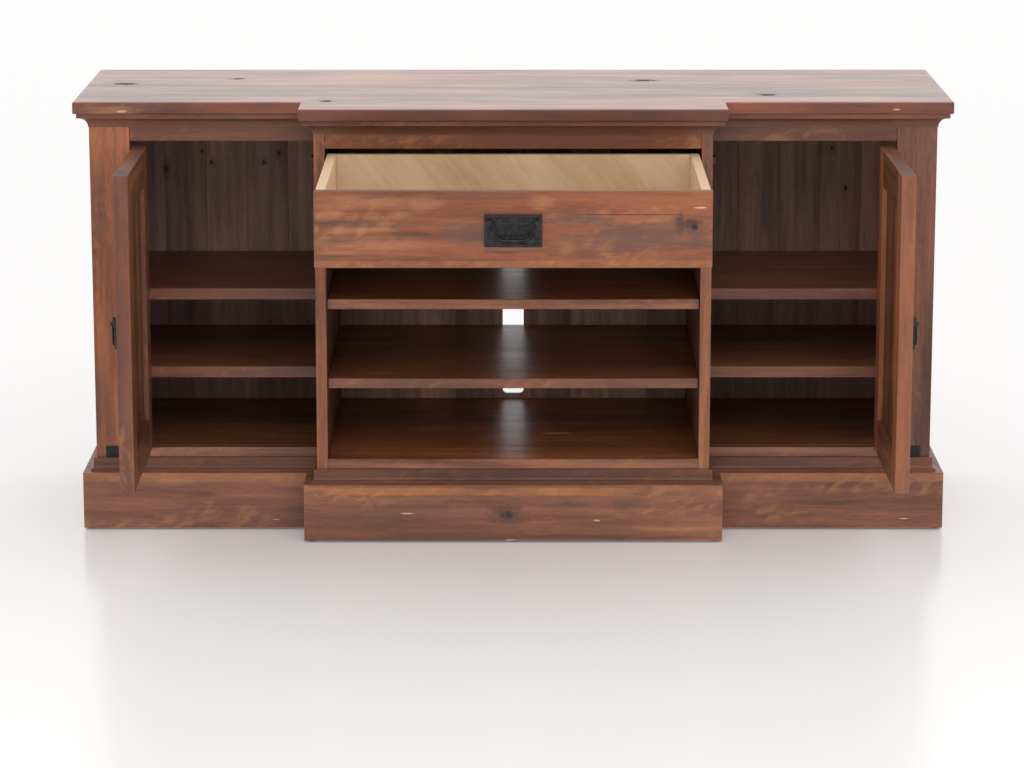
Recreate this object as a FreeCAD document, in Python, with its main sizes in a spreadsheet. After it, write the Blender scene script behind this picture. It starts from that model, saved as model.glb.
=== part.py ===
import FreeCAD, Part
import os
import re
import Sketcher

# A breakfront media cabinet in rustic hardwood: its middle bay stands forward of the two side bays.
# The middle holds a drawer over three open compartments, each side bay has two shelves behind a door.
# It is modelled as it stands in its picture: both doors open and the drawer pulled out.
# X runs along the cabinet from its middle, Y towards the wall from 0 at the cabinet's back, and Z up from
# the floor.

SIZES = {
    # the whole cabinet
    "overall_width": 1830.0,
    "overall_depth": 610.0,
    "overall_height": 918.0,
    "breakfront": 103.0,
    "centre_bay_width": 776.0,
    # top slab and the cornice under it
    "top_thickness": 25.0,
    "top_overhang": 30.0,
    "top_rounding": 3.0,
    "cornice_out": 23.0,
    "cornice_fillet": 10.0,
    "cornice_cove": 21.0,
    # boards of the carcass
    "end_thickness": 20.0,
    "pilaster_width": 84.0,
    "pilaster_thickness": 24.0,
    "partition_thickness": 23.0,
    "frieze_height": 61.0,
    "rail_thickness": 22.0,
    "rail_setback": 1.5,
    "bottom_thickness": 21.0,
    "back_thickness": 10.0,
    "back_recess": 6.0,
    "back_board_width": 88.0,
    "arris": 1.0,
    # plinth, its cap moulding and the glides
    "glide_height": 5.0,
    "glide_radius": 12.0,
    "glide_inset": 14.0,
    "plinth_height": 120.0,
    "plinth_out": 27.0,
    "cap_foot_out": 12.0,
    "cap_foot_height": 5.0,
    "cap_cove": 6.0,
    "cap_band_height": 17.5,
    # shelves and their pins
    "centre_shelf_thickness": 21.0,
    "side_shelf_thickness": 24.0,
    "shelf_top_short": 11.5,
    "centre_shelf_setback": 18.0,
    "side_shelf_setback": 30.0,
    "shelf_gap": 1.0,
    "pin_radius": 2.5,
    "pin_depth": 9.0,
    "pin_reach": 8.0,
    "pin_inset": 50.0,
    "pin_play": 0.1,
    # upright cable slot in the middle board of the back
    "slot_width": 47.0,
    "slot_corner": 10.0,
    "slot_sill": 10.0,
    "slot_top_gap": 12.0,
    # doors
    "door_thickness": 29.0,
    "door_side_gap": 2.5,
    "door_top_gap": 8.5,
    "door_foot_gap": 1.5,
    "door_stile": 65.0,
    "door_rail": 75.0,
    "door_panel": 12.0,
    "door_panel_recess": 8.0,
    "left_door_angle": 89.6,
    "right_door_angle": 90.5,
    # butt hinges
    "hinge_length": 64.0,
    "hinge_inset": 85.0,
    "hinge_leaf": 1.0,
    "hinge_leaf_width": 24.0,
    "knuckle_radius": 5.5,
    "knuckle_gap": 0.5,
    "hinge_pin_radius": 2.4,
    "hinge_play": 0.3,
    # magnetic catches behind the doors
    "catch_width": 14.0,
    "catch_depth": 34.0,
    "catch_height": 16.0,
    "catch_drop": 30.0,
    # drawer and its place
    "drawer_clear_height": 163.0,
    "divider_thickness": 20.0,
    "drawer_hold": 23.0,
    "drawer_top_gap": 10.0,
    "drawer_foot_gap": 2.0,
    "drawer_front_rounding": 1.5,
    "drawer_front_thickness": 20.0,
    "drawer_front_gap": 2.5,
    "drawer_box_gap": 4.5,
    "drawer_box_length": 460.0,
    "drawer_side_thickness": 19.0,
    "drawer_back_thickness": 17.0,
    "drawer_side_drop": 3.0,
    "drawer_side_lift": 4.0,
    "drawer_bottom_lift": 18.0,
    "drawer_bottom_thickness": 8.0,
    # full-extension runners in three members
    "runner_short": 10.0,
    "runner_width": 40.0,
    "runner_height": 6.5,
    "runner_wall": 1.5,
    "runner_inset": 6.0,
    "runner_play": 0.4,
    # small iron plate at the foot of each pilaster
    "foot_plate_width": 27.0,
    "foot_plate_height": 24.0,
    "foot_plate_inset": 20.0,
    "foot_plate_thickness": 2.5,
    # drawer pull: a wide plate with a cup behind its bail
    "handle_width": 112.0,
    "handle_height": 64.0,
    "handle_lower": 1.5,
    "handle_bail_width": 79.0,
    "handle_bail_drop": 35.0,
    "handle_bail_corner": 24.0,
    "cup_width": 71.0,
    "cup_height": 26.0,
    "cup_depth": 8.0,
    "cup_corner": 17.0,
    "cup_wall": 1.5,
    # door pulls: a square plate with a bail
    "pull_width": 56.0,
    "pull_height": 58.0,
    "pull_bail_width": 28.0,
    "pull_bail_drop": 45.0,
    "pull_bail_corner": 10.0,
    "pull_lift": 2.0,
    # what both kinds of pull share
    "plate_thickness": 2.0,
    "plate_rim": 4.0,
    "plate_rim_height": 3.0,
    "plate_ease": 0.5,
    "bail_radius": 2.6,
    "bail_bend": 4.0,
    "bail_rise": 8.6,
    "bail_post": 5.5,
    "bail_play": 0.3,
    "post_wall": 1.4,
    # how far a cutting shape runs past what it cuts
    "overrun": 5.0,
}

doc = FreeCAD.newDocument("media_cabinet")
sheet = doc.addObject("Spreadsheet::Sheet", "Sizes")
for row, (alias, size) in enumerate(SIZES.items(), start=1):
    sheet.set("A%d" % row, alias)
    sheet.set("B%d" % row, str(size))
    sheet.setAlias("B%d" % row, alias)
doc.recompute()

# Places that several pieces share, each worked out from the sizes above.
CARCASS_X = "(overall_width / 2 - top_overhang)"
OPENING_X = "(overall_width / 2 - top_overhang - pilaster_width)"
BAY_X = "(centre_bay_width / 2)"
PARTITION_X = "(centre_bay_width / 2 + partition_thickness)"
SIDE_FACE = "(overall_depth - breakfront - top_overhang)"
CENTRE_FACE = "(overall_depth - top_overhang)"
BACK_FACE = "(back_recess + back_thickness)"
SLAB_Z = "(overall_height - top_thickness)"
RAIL_Z = "(overall_height - top_thickness - frieze_height)"
PLINTH_Z = "(glide_height + plinth_height)"
BASE_Z = "(glide_height + plinth_height + cap_foot_height + cap_cove + cap_band_height)"
FLOOR_Z = "(%s + bottom_thickness)" % BASE_Z
DIVIDER_Z = "(%s - drawer_clear_height)" % RAIL_Z
DOOR_Z = "(%s + door_foot_gap)" % FLOOR_Z
DOOR_TOP_Z = "(%s - door_top_gap)" % RAIL_Z
DOOR_WIDTH = "(%s - %s - 2 * door_side_gap)" % (OPENING_X, PARTITION_X)
DRAWER_TOP_Z = "(%s - drawer_top_gap)" % RAIL_Z
DIVIDER_FOOT_Z = "(%s - divider_thickness)" % DIVIDER_Z
# The shelves part the open height into three, the top space a little lower than the others.
SHELF_PITCH = "((%s - %s + centre_shelf_thickness + shelf_top_short) / 3)" % (DIVIDER_FOOT_Z, FLOOR_Z)
# The drawer comes out until only the rear of its box is held inside.
DRAWER_TRAVEL = "(drawer_front_thickness + drawer_box_length - drawer_hold)"
RUNNER_LENGTH = "(drawer_box_length - runner_short)"
SIDES = (("left", -1), ("right", 1))
QUARTER_TURN = 90
# The shares of the drawer's travel that its runner's members make: fixed, middle, drawer.
RUNNER_SHARES = ("0", "1 / 2", "1")

CELLS = {alias: "Sizes." + alias for alias in SIZES}
nodes = []


def linked(text):
    """The expression with each size's name pointing at its cell of the sheet."""
    return re.sub(r"[a-z][a-z_]*", lambda word: CELLS.get(word.group(), word.group()), text)


def number(text):
    """What an expression of sizes comes to, in millimetres."""
    return float(sheet.evalExpression(linked(text)))


def keep(name, *pieces):
    """Puts one piece, or a group of separate solids, in the node of this name."""
    group = doc.addObject("Part::Compound", name)
    group.Label = name
    group.Links = list(pieces)
    nodes.append(group)
    return group


def place(piece, x="0", y="0", z="0", turn=0):
    """Ties a piece's place to the sizes, after a fixed turn about the upright axis."""
    piece.Placement = FreeCAD.Placement(FreeCAD.Vector(), FreeCAD.Rotation(FreeCAD.Vector(0, 0, 1), turn))
    for corner, where in zip("xyz", (x, y, z)):
        piece.setExpression("Placement.Base." + corner, linked(where))
    return piece


def block(name, x, y, z):
    """A plain box between two places along each axis."""
    piece = doc.addObject("Part::Box", name)
    for side, (low, high) in zip(("Length", "Width", "Height"), (x, y, z)):
        piece.setExpression(side, linked("(%s) - (%s)" % (high, low)))
    return place(piece, x[0], y[0], z[0])


def board(name, x, y, z, ease="arris"):
    """A wooden board with every arris taken off."""
    body = doc.addObject("PartDesign::Body", name)
    timber = body.newObject("PartDesign::AdditiveBox", name + "_timber")
    for side, (low, high) in zip(("Length", "Width", "Height"), (x, y, z)):
        timber.setExpression(side, linked("(%s) - (%s)" % (high, low)))
    doc.recompute()
    eased = body.newObject("PartDesign::Chamfer", name + "_ease")
    eased.Base = (timber, ["Edge%d" % (count + 1) for count in range(len(timber.Shape.Edges))])
    eased.setExpression("Size", linked(ease))
    return place(body, x[0], y[0], z[0])


def rounded_bar(name, x, y, z, corner, low_only=False):
    """A bar along Y with its long edges rounded, or only the lower two of them."""
    body = doc.addObject("PartDesign::Body", name)
    bar = body.newObject("PartDesign::AdditiveBox", name + "_bar")
    for side, (low, high) in zip(("Length", "Width", "Height"), (x, y, z)):
        bar.setExpression(side, linked("(%s) - (%s)" % (high, low)))
    doc.recompute()
    middle = bar.Shape.BoundBox.Center
    picked = []
    for count, edge in enumerate(bar.Shape.Edges, start=1):
        box = edge.BoundBox
        if box.YMin < middle.y < box.YMax and (box.ZMax < middle.z or not low_only):
            picked.append("Edge%d" % count)
    rounded = body.newObject("PartDesign::Fillet", name + "_corners")
    rounded.Base = (bar, picked)
    rounded.setExpression("Radius", linked(corner))
    return place(body, x[0], y[0], z[0])


def rod(name, radius, length, x="0", y="0", z="0", axis=FreeCAD.Vector(0, 0, 1)):
    """A round bar from a place along an axis."""
    piece = doc.addObject("Part::Cylinder", name)
    piece.setExpression("Radius", linked(radius))
    piece.setExpression("Height", linked(length))
    piece.Placement = FreeCAD.Placement(FreeCAD.Vector(), FreeCAD.Rotation(FreeCAD.Vector(0, 0, 1), axis))
    for corner, where in zip("xyz", (x, y, z)):
        piece.setExpression("Placement.Base." + corner, linked(where))
    return piece


def fused(name, pieces):
    """Several shapes made one solid."""
    whole = doc.addObject("Part::MultiFuse", name)
    whole.Shapes = list(pieces)
    whole.Refine = True
    return whole


def cut(name, base, tool):
    """One shape less another."""
    rest = doc.addObject("Part::Cut", name)
    rest.Base = base
    rest.Tool = tool
    return rest


def bundle(name, pieces):
    """Shapes held together as one cutting tool or group."""
    group = doc.addObject("Part::Compound", name)
    group.Links = list(pieces)
    return group


def both_ways(side, near, far):
    """The span from near to far on the right of the middle, or its mirror image on the left."""
    return (near, far) if side > 0 else ("-(%s)" % far, "-(%s)" % near)


def draw(body, name, role, points, arcs=None, closed=True):
    """A sketch through points given as expressions. arcs maps an edge to its centre."""
    arcs = arcs or {}
    sketch = body.newObject("Sketcher::SketchObject", name)
    plane = next(item for item in body.Origin.OriginFeatures if item.Role == role)
    sketch.AttachmentSupport = [(plane, "")]
    sketch.MapMode = "FlatFace"
    spots = [FreeCAD.Vector(number(across), number(up), 0) for across, up in points]
    count = len(points) if closed else len(points) - 1
    ends = []
    for edge in range(count):
        first, last = spots[edge], spots[(edge + 1) % len(spots)]
        if edge not in arcs:
            sketch.addGeometry(Part.LineSegment(first, last))
            ends.append((1, 2))
            continue
        centre = FreeCAD.Vector(number(arcs[edge][0]), number(arcs[edge][1]), 0)
        turn = (first - centre).cross(last - centre).z
        start, stop = (first, last) if turn > 0 else (last, first)
        circle = Part.Circle(centre, FreeCAD.Vector(0, 0, 1), (first - centre).Length)
        sketch.addGeometry(Part.ArcOfCircle(circle, circle.parameter(start), circle.parameter(stop)))
        ends.append((1, 2) if turn > 0 else (2, 1))
    for edge in range(count):
        following = (edge + 1) % len(spots)
        if following < count:
            pair = (edge, ends[edge][1], following, ends[following][0])
            sketch.addConstraint(Sketcher.Constraint("Coincident", *pair))
    for spot, (across, up) in enumerate(points):
        edge, end = (spot, ends[spot][0]) if spot < count else (spot - 1, ends[spot - 1][1])
        for kind, where in (("DistanceX", across), ("DistanceY", up)):
            rule = sketch.addConstraint(Sketcher.Constraint(kind, -1, 1, edge, end, number(where)))
            sketch.setExpression("Constraints[%d]" % rule, linked(where))
    for edge, (across, up) in arcs.items():
        rule = sketch.addConstraint(Sketcher.Constraint("DistanceX", -1, 1, edge, 3, number(across)))
        sketch.setExpression("Constraints[%d]" % rule, linked(across))
    return sketch


def top_panel():
    """The slab that a television stands on, its middle forward of its sides."""
    body = doc.addObject("PartDesign::Body", "top_slab")
    step = "(%s + top_overhang)" % PARTITION_X
    side = "-(overall_depth - breakfront)"
    end = "overall_width / 2"
    plan = [("-" + end, "0"), ("-" + end, side), ("-" + step, side), ("-" + step, "-overall_depth"),
            (step, "-overall_depth"), (step, side), (end, side), (end, "0")]
    outline = draw(body, "top_plan", "XY_Plane", plan)
    slab = body.newObject("PartDesign::Pad", "top_pad")
    slab.Profile = outline
    slab.setExpression("Length", linked("top_thickness"))
    doc.recompute()
    eased = body.newObject("PartDesign::Fillet", "top_rounding")
    eased.Base = (slab, ["Edge%d" % (count + 1) for count in range(len(slab.Shape.Edges))])
    eased.setExpression("Radius", linked("top_rounding"))
    keep("top_panel", place(body, z=SLAB_Z))


def moulding_runs():
    """Where each length of moulding starts and stops, how its ends are mitred and which way it faces.

    A mitre is 1 round an outer corner, -1 into an inner corner and 0 where the end is square.
    """
    return {
        "left": (("end", "0", SIDE_FACE, 0, 1, "-" + CARCASS_X, "0", -QUARTER_TURN),
                 ("front", "-" + CARCASS_X, "-" + PARTITION_X, 1, -1, "0", "-" + SIDE_FACE, 0),
                 ("return", SIDE_FACE, CENTRE_FACE, -1, 1, "-" + PARTITION_X, "0", -QUARTER_TURN)),
        "centre": (("front", "-" + PARTITION_X, PARTITION_X, 1, 1, "0", "-" + CENTRE_FACE, 0),),
        "right": (("return", "-" + CENTRE_FACE, "-" + SIDE_FACE, 1, -1, PARTITION_X, "0", QUARTER_TURN),
                  ("front", PARTITION_X, CARCASS_X, -1, 1, "0", "-" + SIDE_FACE, 0),
                  ("end", "-" + SIDE_FACE, "0", 1, 0, CARCASS_X, "0", QUARTER_TURN)),
    }


def mitred_length(name, run, out, low, high, profile=None, arcs=None):
    """One length of board or moulding that stands out from the carcass, with its ends mitred."""
    part, start, stop, first, last, x, y, turn = run
    name = "%s_%s" % (name, part)
    wedge = doc.addObject("Part::Wedge", name + "_mitres")
    ends = {"Xmin": "%s - %d * %s" % (start, first, out), "Xmax": "%s + %d * %s" % (stop, last, out),
            "X2min": start, "X2max": stop, "Ymin": "-(%s)" % out, "Ymax": "0",
            "Zmin": low, "Zmax": high, "Z2min": low, "Z2max": high}
    for side, where in ends.items():
        wedge.setExpression(side, linked(where))
    if profile is None:
        return place(wedge, x, y, turn=turn)
    body = doc.addObject("PartDesign::Body", name + "_bar")
    section = draw(body, name + "_section", "YZ_Plane", profile, arcs)
    bar = body.newObject("PartDesign::Pad", name + "_pad")
    bar.Profile = section
    bar.SideType = "Symmetric"
    bar.setExpression("Length", linked("2 * overall_width"))
    length = doc.addObject("Part::Common", name)
    length.Base = body
    length.Tool = wedge
    return place(length, x, y, turn=turn)


def cornice_plinth_and_cap():
    """The cornice under the top, the plinth round the foot, and the cap moulding on the plinth."""
    quirk = "((cornice_out - cornice_cove) / 2)"
    cove_out = "(%s + cornice_cove)" % quirk
    fillet_z = "%s - cornice_fillet" % SLAB_Z
    cove_z = "%s - cornice_fillet - cornice_cove" % SLAB_Z
    cornice = [("0", SLAB_Z), ("-cornice_out", SLAB_Z), ("-cornice_out", fillet_z),
               ("-" + cove_out, fillet_z), ("-" + quirk, cove_z), ("0", cove_z)]
    cornice_arc = {3: ("-" + cove_out, cove_z)}
    foot_z = "%s + cap_foot_height" % PLINTH_Z
    band_z = "%s + cap_foot_height + cap_cove" % PLINTH_Z
    band_out = "(cap_foot_out - cap_cove)"
    cap = [("0", PLINTH_Z), ("-cap_foot_out", PLINTH_Z), ("-cap_foot_out", foot_z), ("-" + band_out, band_z),
           ("-" + band_out, BASE_Z), ("0", BASE_Z)]
    cap_arc = {2: ("-cap_foot_out", band_z)}
    mouldings = (("cornice", "cornice_out", cove_z, SLAB_Z, cornice, cornice_arc),
                 ("base_cap", "cap_foot_out", PLINTH_Z, BASE_Z, cap, cap_arc),
                 ("plinth", "plinth_out", "glide_height", PLINTH_Z, None, None))
    for where, runs in moulding_runs().items():
        for kind, *rest in mouldings:
            name = "%s_%s" % (kind, where)
            keep(name, *[mitred_length(name + "_length", run, *rest) for run in runs])


def bays():
    """Each bay: its name, its inner span, its face, and what its shelves' own sizes are named after."""
    return (("left", "-(%s - end_thickness)" % CARCASS_X, "-" + PARTITION_X, SIDE_FACE, "side"),
            ("centre", "-" + BAY_X, BAY_X, CENTRE_FACE, "centre"),
            ("right", PARTITION_X, "(%s - end_thickness)" % CARCASS_X, SIDE_FACE, "side"))


def shelf_top(step):
    """The height of a shelf's upper face, counted up from the bottom panel."""
    return "(%s + %d * %s)" % (FLOOR_Z, step, SHELF_PITCH)


def upright_panels():
    """End panels, pilasters and partitions, with the holes that the shelf pins stand in."""
    pins = []
    end_wall = "%s - end_thickness" % CARCASS_X
    for hand, side in SIDES:
        height = ("glide_height", SLAB_Z)
        end = board("end_%s_board" % hand, both_ways(side, end_wall, CARCASS_X),
                    ("-(%s - pilaster_thickness)" % SIDE_FACE, "0"), height)
        pilaster = board("pilaster_%s_board" % hand, both_ways(side, OPENING_X, CARCASS_X),
                         ("-" + SIDE_FACE, "-(%s - pilaster_thickness)" % SIDE_FACE), height)
        partition = board("partition_%s_board" % hand, both_ways(side, BAY_X, PARTITION_X),
                          ("-" + CENTRE_FACE, "0"), height)
        keep("pilaster_" + hand, pilaster)
        # A wall that carries shelves: its face, which way it looks, the bay's face and its shelves' kind.
        outer_face, inner_face = (PARTITION_X, side, SIDE_FACE, "side"), (BAY_X, -side, CENTRE_FACE, "centre")
        walls = {"end_panel_" + hand: (end, [(end_wall, -side, SIDE_FACE, "side")]),
                 "partition_" + hand: (partition, [outer_face, inner_face])}
        for name, (panel, faces) in walls.items():
            holes = []
            for wall, looks, face, kind in faces:
                wall = wall if side > 0 else "-(%s)" % wall
                rods = shelf_pins(name, wall, looks, face, kind, len(pins))
                pins += rods[0]
                holes += rods[1]
            keep(name, cut(name + "_drilled", panel, bundle(name + "_holes", holes)))
    keep("shelf_pins", *pins)


def shelf_pins(name, wall, looks, face, kind, count):
    """The pins in one wall, a front and a back one under each shelf, and the holes that they stand in."""
    pins, holes = [], []
    reach = "(%s - %s_shelf_setback)" % (face, kind)
    start = "%s - %d * pin_depth" % (wall, looks)
    axis = FreeCAD.Vector(looks, 0, 0)
    for step in (1, 2):
        z = "%s - %s_shelf_thickness - pin_radius" % (shelf_top(step), kind)
        for y in ("-(%s + pin_inset)" % BACK_FACE, "-(%s - pin_inset)" % reach):
            spot = "%s_%d" % (name, count + len(pins))
            at = (start, y, z, axis)
            pins.append(rod("pin_" + spot, "pin_radius", "pin_depth + pin_reach", *at))
            holes.append(rod("hole_" + spot, "pin_radius + pin_play", "pin_depth + overrun", *at))
    return pins, holes


def rails_and_bottoms():
    """Frieze rails over the bays, bottom panels, shelves, base rails and the divider under the drawer."""
    base_rails = []
    for name, low, high, face, kind in bays():
        rail_low, rail_high = low, high
        if name == "left":
            rail_low = "-" + OPENING_X
        if name == "right":
            rail_high = OPENING_X
        keep("frieze_rail_" + name,
             board("frieze_%s_board" % name, (rail_low, rail_high),
                   ("-(%s - rail_setback)" % face, "-(%s - rail_setback - rail_thickness)" % face),
                   (RAIL_Z, SLAB_Z)))
        # A bottom panel's front is flush with its bay's face: behind a pilaster a lip brings it there.
        front = "-(%s - pilaster_thickness)" % face if kind == "side" else "-" + face
        boards = [board("bottom_%s_board" % name, (low, high), (front, "-" + BACK_FACE), (BASE_Z, FLOOR_Z))]
        if kind == "side":
            boards.append(board("bottom_%s_lip" % name, (rail_low, rail_high), ("-" + face, front),
                                (BASE_Z, FLOOR_Z)))
        keep("bottom_panel_" + name, *boards)
        base_rails.append(board("base_rail_" + name, (rail_low, rail_high),
                                ("-" + face, "-(%s - pilaster_thickness)" % face), ("glide_height", BASE_Z)))
        for level, step in (("lower", 1), ("upper", 2)):
            keep("shelf_%s_%s" % (name, level),
                 board("shelf_%s_%s_board" % (name, level), ("%s + shelf_gap" % low, "%s - shelf_gap" % high),
                       ("-(%s - %s_shelf_setback)" % (face, kind), "-(%s + shelf_gap)" % BACK_FACE),
                       ("%s - %s_shelf_thickness" % (shelf_top(step), kind), shelf_top(step))))
        base_rails.append(board("base_rail_back_" + name, (low, high), ("-pilaster_thickness", "0"),
                                ("glide_height", BASE_Z)))
    keep("base_rails", *base_rails)
    keep("drawer_divider",
         board("divider_board", ("-" + BAY_X, BAY_X), ("-(%s - rail_setback)" % CENTRE_FACE, "-" + BACK_FACE),
               (DIVIDER_FOOT_Z, DIVIDER_Z)))


def back_panels():
    """Upright boards, edge to edge, closing the back of each bay.

    The middle board of the centre bay is a piece of its own, with the slot that cables go through.
    """
    for name, low, high, face, kind in bays():
        count = int(number("(%s - (%s)) / back_board_width" % (high, low)))
        count += (count + 1) % 2
        width = "((%s - (%s)) / %d)" % (high, low, count)
        boards = []
        for step in range(count):
            x = ("%s + %d * %s" % (low, step, width), "%s + %d * %s" % (low, step + 1, width))
            piece = board("back_%s_board_%d" % (name, step + 1), x, ("-" + BACK_FACE, "-back_recess"),
                          (BASE_Z, SLAB_Z))
            if name == "centre" and step == count // 2:
                keep("cable_board", cut("cable_board_slotted", piece, cable_slot()))
            else:
                boards.append(piece)
        keep("back_panel_" + name, *boards)


def cable_slot():
    """The shape that cuts the slot, from just over the bottom panel to just under the drawer's divider."""
    return rounded_bar("cable_slot", ("-slot_width / 2", "slot_width / 2"),
                       ("-(%s + overrun)" % BACK_FACE, "-(back_recess - overrun)"),
                       ("%s + slot_sill" % FLOOR_Z, "%s - slot_top_gap" % DIVIDER_FOOT_Z), "slot_corner")


def glides():
    """Round feet under the plinth's corners, under its middle and under the back."""
    front = "-(%s + plinth_out - glide_inset - glide_radius)"
    back = "-(glide_inset + glide_radius)"
    spots = [("0", front % CENTRE_FACE)]
    for hand, side in SIDES:
        outer = "%d * (%s + plinth_out - glide_inset)" % (side, CARCASS_X)
        inner = "%d * (%s + plinth_out - glide_inset)" % (side, PARTITION_X)
        under_partition = "%d * (%s + %s) / 2" % (side, BAY_X, PARTITION_X)
        spots += [(outer, front % SIDE_FACE), (outer, back)]
        spots += [(inner, front % CENTRE_FACE), (under_partition, back)]
    keep("floor_glides", *[rod("glide_%d" % (count + 1), "glide_radius", "glide_height", x, y)
                           for count, (x, y) in enumerate(spots)])


def foot_plates():
    """The small iron plate at the foot of each pilaster, just over the cap moulding."""
    plates = []
    outer = "%s - foot_plate_inset" % CARCASS_X
    for hand, side in SIDES:
        x = both_ways(side, "%s - foot_plate_width" % outer, outer)
        y = ("-(%s + foot_plate_thickness)" % SIDE_FACE, "-" + SIDE_FACE)
        plates.append(block("foot_plate_" + hand, x, y, (BASE_Z, "%s + foot_plate_height" % BASE_Z)))
    keep("foot_plates", *plates)


def cup_bar(name, wall, y):
    """The rounded shape of the cup in the drawer's pull, grown by a wall, about the bail's axis."""
    drop = pull_drop("handle_bail_drop")
    x = ("-(cup_width / 2 + %s)" % wall, "cup_width / 2 + %s" % wall)
    z = ("-(%s + cup_height / 2 + %s)" % (drop, wall), "cup_height / 2 + %s - %s" % (wall, drop))
    return rounded_bar(name, x, y, z, "cup_corner + %s" % wall, low_only=True)


def pull_drop(bail_drop):
    """How far the middle of a pull's plate lies under its bail's axis."""
    return "(%s / 2 - bail_radius / 2)" % bail_drop


def pull(prefix, width, height, bail_width, bail_drop, bail_corner, cup=False):
    """An iron plate with a raised rim and two posts, and the bail that swings in them.

    It is made about the bail's axis, facing -Y, with the face it is fixed to at Y = 0.
    """
    drop = pull_drop(bail_drop)
    x = ("-%s / 2" % width, "%s / 2" % width)
    z = ("-(%s / 2 + %s)" % (height, drop), "%s / 2 - %s" % (height, drop))
    sheet_y = ("-plate_thickness", "0")
    iron = [board(prefix + "_sheet", x, sheet_y, z, "plate_ease")]
    outside = block(prefix + "_rim_outside", x,
                    ("-(plate_thickness + plate_rim_height)", "-plate_thickness / 2"), z)
    inside = block(prefix + "_rim_inside", ("%s + plate_rim" % x[0], "%s - plate_rim" % x[1]),
                   ("-(plate_thickness + plate_rim_height + overrun)", "0"),
                   ("%s + plate_rim" % z[0], "%s - plate_rim" % z[1]))
    iron.append(cut(prefix + "_rim", outside, inside))
    hollows = []
    post_x = "(%s / 2 + bail_bend)" % bail_width
    post_z = "(bail_radius + bail_play + post_wall)"
    for hand, side in SIDES:
        span = both_ways(side, post_x, "%s + bail_post" % post_x)
        iron.append(block("%s_post_%s" % (prefix, hand), span,
                          ("-(bail_rise + %s)" % post_z, "-plate_thickness / 2"), ("-" + post_z, post_z)))
        hollows.append(rod("%s_bore_%s" % (prefix, hand), "bail_radius + bail_play",
                           "bail_post + 2 * overrun", "%s - overrun" % span[0], "-bail_rise", "0",
                           FreeCAD.Vector(1, 0, 0)))
    if cup:
        iron.append(cup_bar(prefix + "_cup_outside", "cup_wall", ("-plate_thickness / 2", "cup_depth")))
        hollows.append(cup_bar(prefix + "_cup_inside", "0 * cup_wall",
                               ("-(plate_thickness + overrun)", "cup_depth - cup_wall")))
    plate = cut(prefix + "_plate_iron", fused(prefix + "_iron", iron), bundle(prefix + "_hollows", hollows))
    return plate, bail(prefix, bail_width, bail_drop, bail_corner)


def bail(prefix, width, drop, corner):
    """A round rod bent to a drooping handle, its ends turned out into the posts."""
    body = doc.addObject("PartDesign::Body", prefix + "_bail_iron")
    side_x = "(%s / 2)" % width
    turn_x = "(%s / 2 + bail_bend)" % width
    end_x = "(%s / 2 + bail_bend + bail_post)" % width
    floor_x = "(%s / 2 - %s)" % (width, corner)
    low_z = "-(%s - %s)" % (drop, corner)
    points = [("-" + end_x, "0"), ("-" + turn_x, "0"), ("-" + side_x, "-bail_bend"), ("-" + side_x, low_z),
              ("-" + floor_x, "-" + drop), (floor_x, "-" + drop), (side_x, low_z), (side_x, "-bail_bend"),
              (turn_x, "0"), (end_x, "0")]
    arcs = {1: ("-" + turn_x, "-bail_bend"), 3: ("-" + floor_x, low_z), 5: (floor_x, low_z),
            7: (turn_x, "-bail_bend")}
    path = draw(body, prefix + "_bail_path", "XZ_Plane", points, arcs, closed=False)
    section = body.newObject("Sketcher::SketchObject", prefix + "_bail_section")
    plane = next(item for item in body.Origin.OriginFeatures if item.Role == "YZ_Plane")
    section.AttachmentSupport = [(plane, "")]
    section.MapMode = "FlatFace"
    section.setExpression("AttachmentOffset.Base.z", linked("-" + end_x))
    section.addGeometry(Part.Circle(FreeCAD.Vector(), FreeCAD.Vector(0, 0, 1), number("bail_radius")))
    section.addConstraint(Sketcher.Constraint("Coincident", 0, 3, -1, 1))
    rule = section.addConstraint(Sketcher.Constraint("Radius", 0, number("bail_radius")))
    section.setExpression("Constraints[%d]" % rule, linked("bail_radius"))
    doc.recompute()
    sweep = body.newObject("PartDesign::AdditivePipe", prefix + "_bail_sweep")
    sweep.Profile = section
    sweep.Spine = (path, ["Edge%d" % (count + 1) for count in range(len(points) - 1)])
    return place(body, y="-bail_rise")


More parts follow.
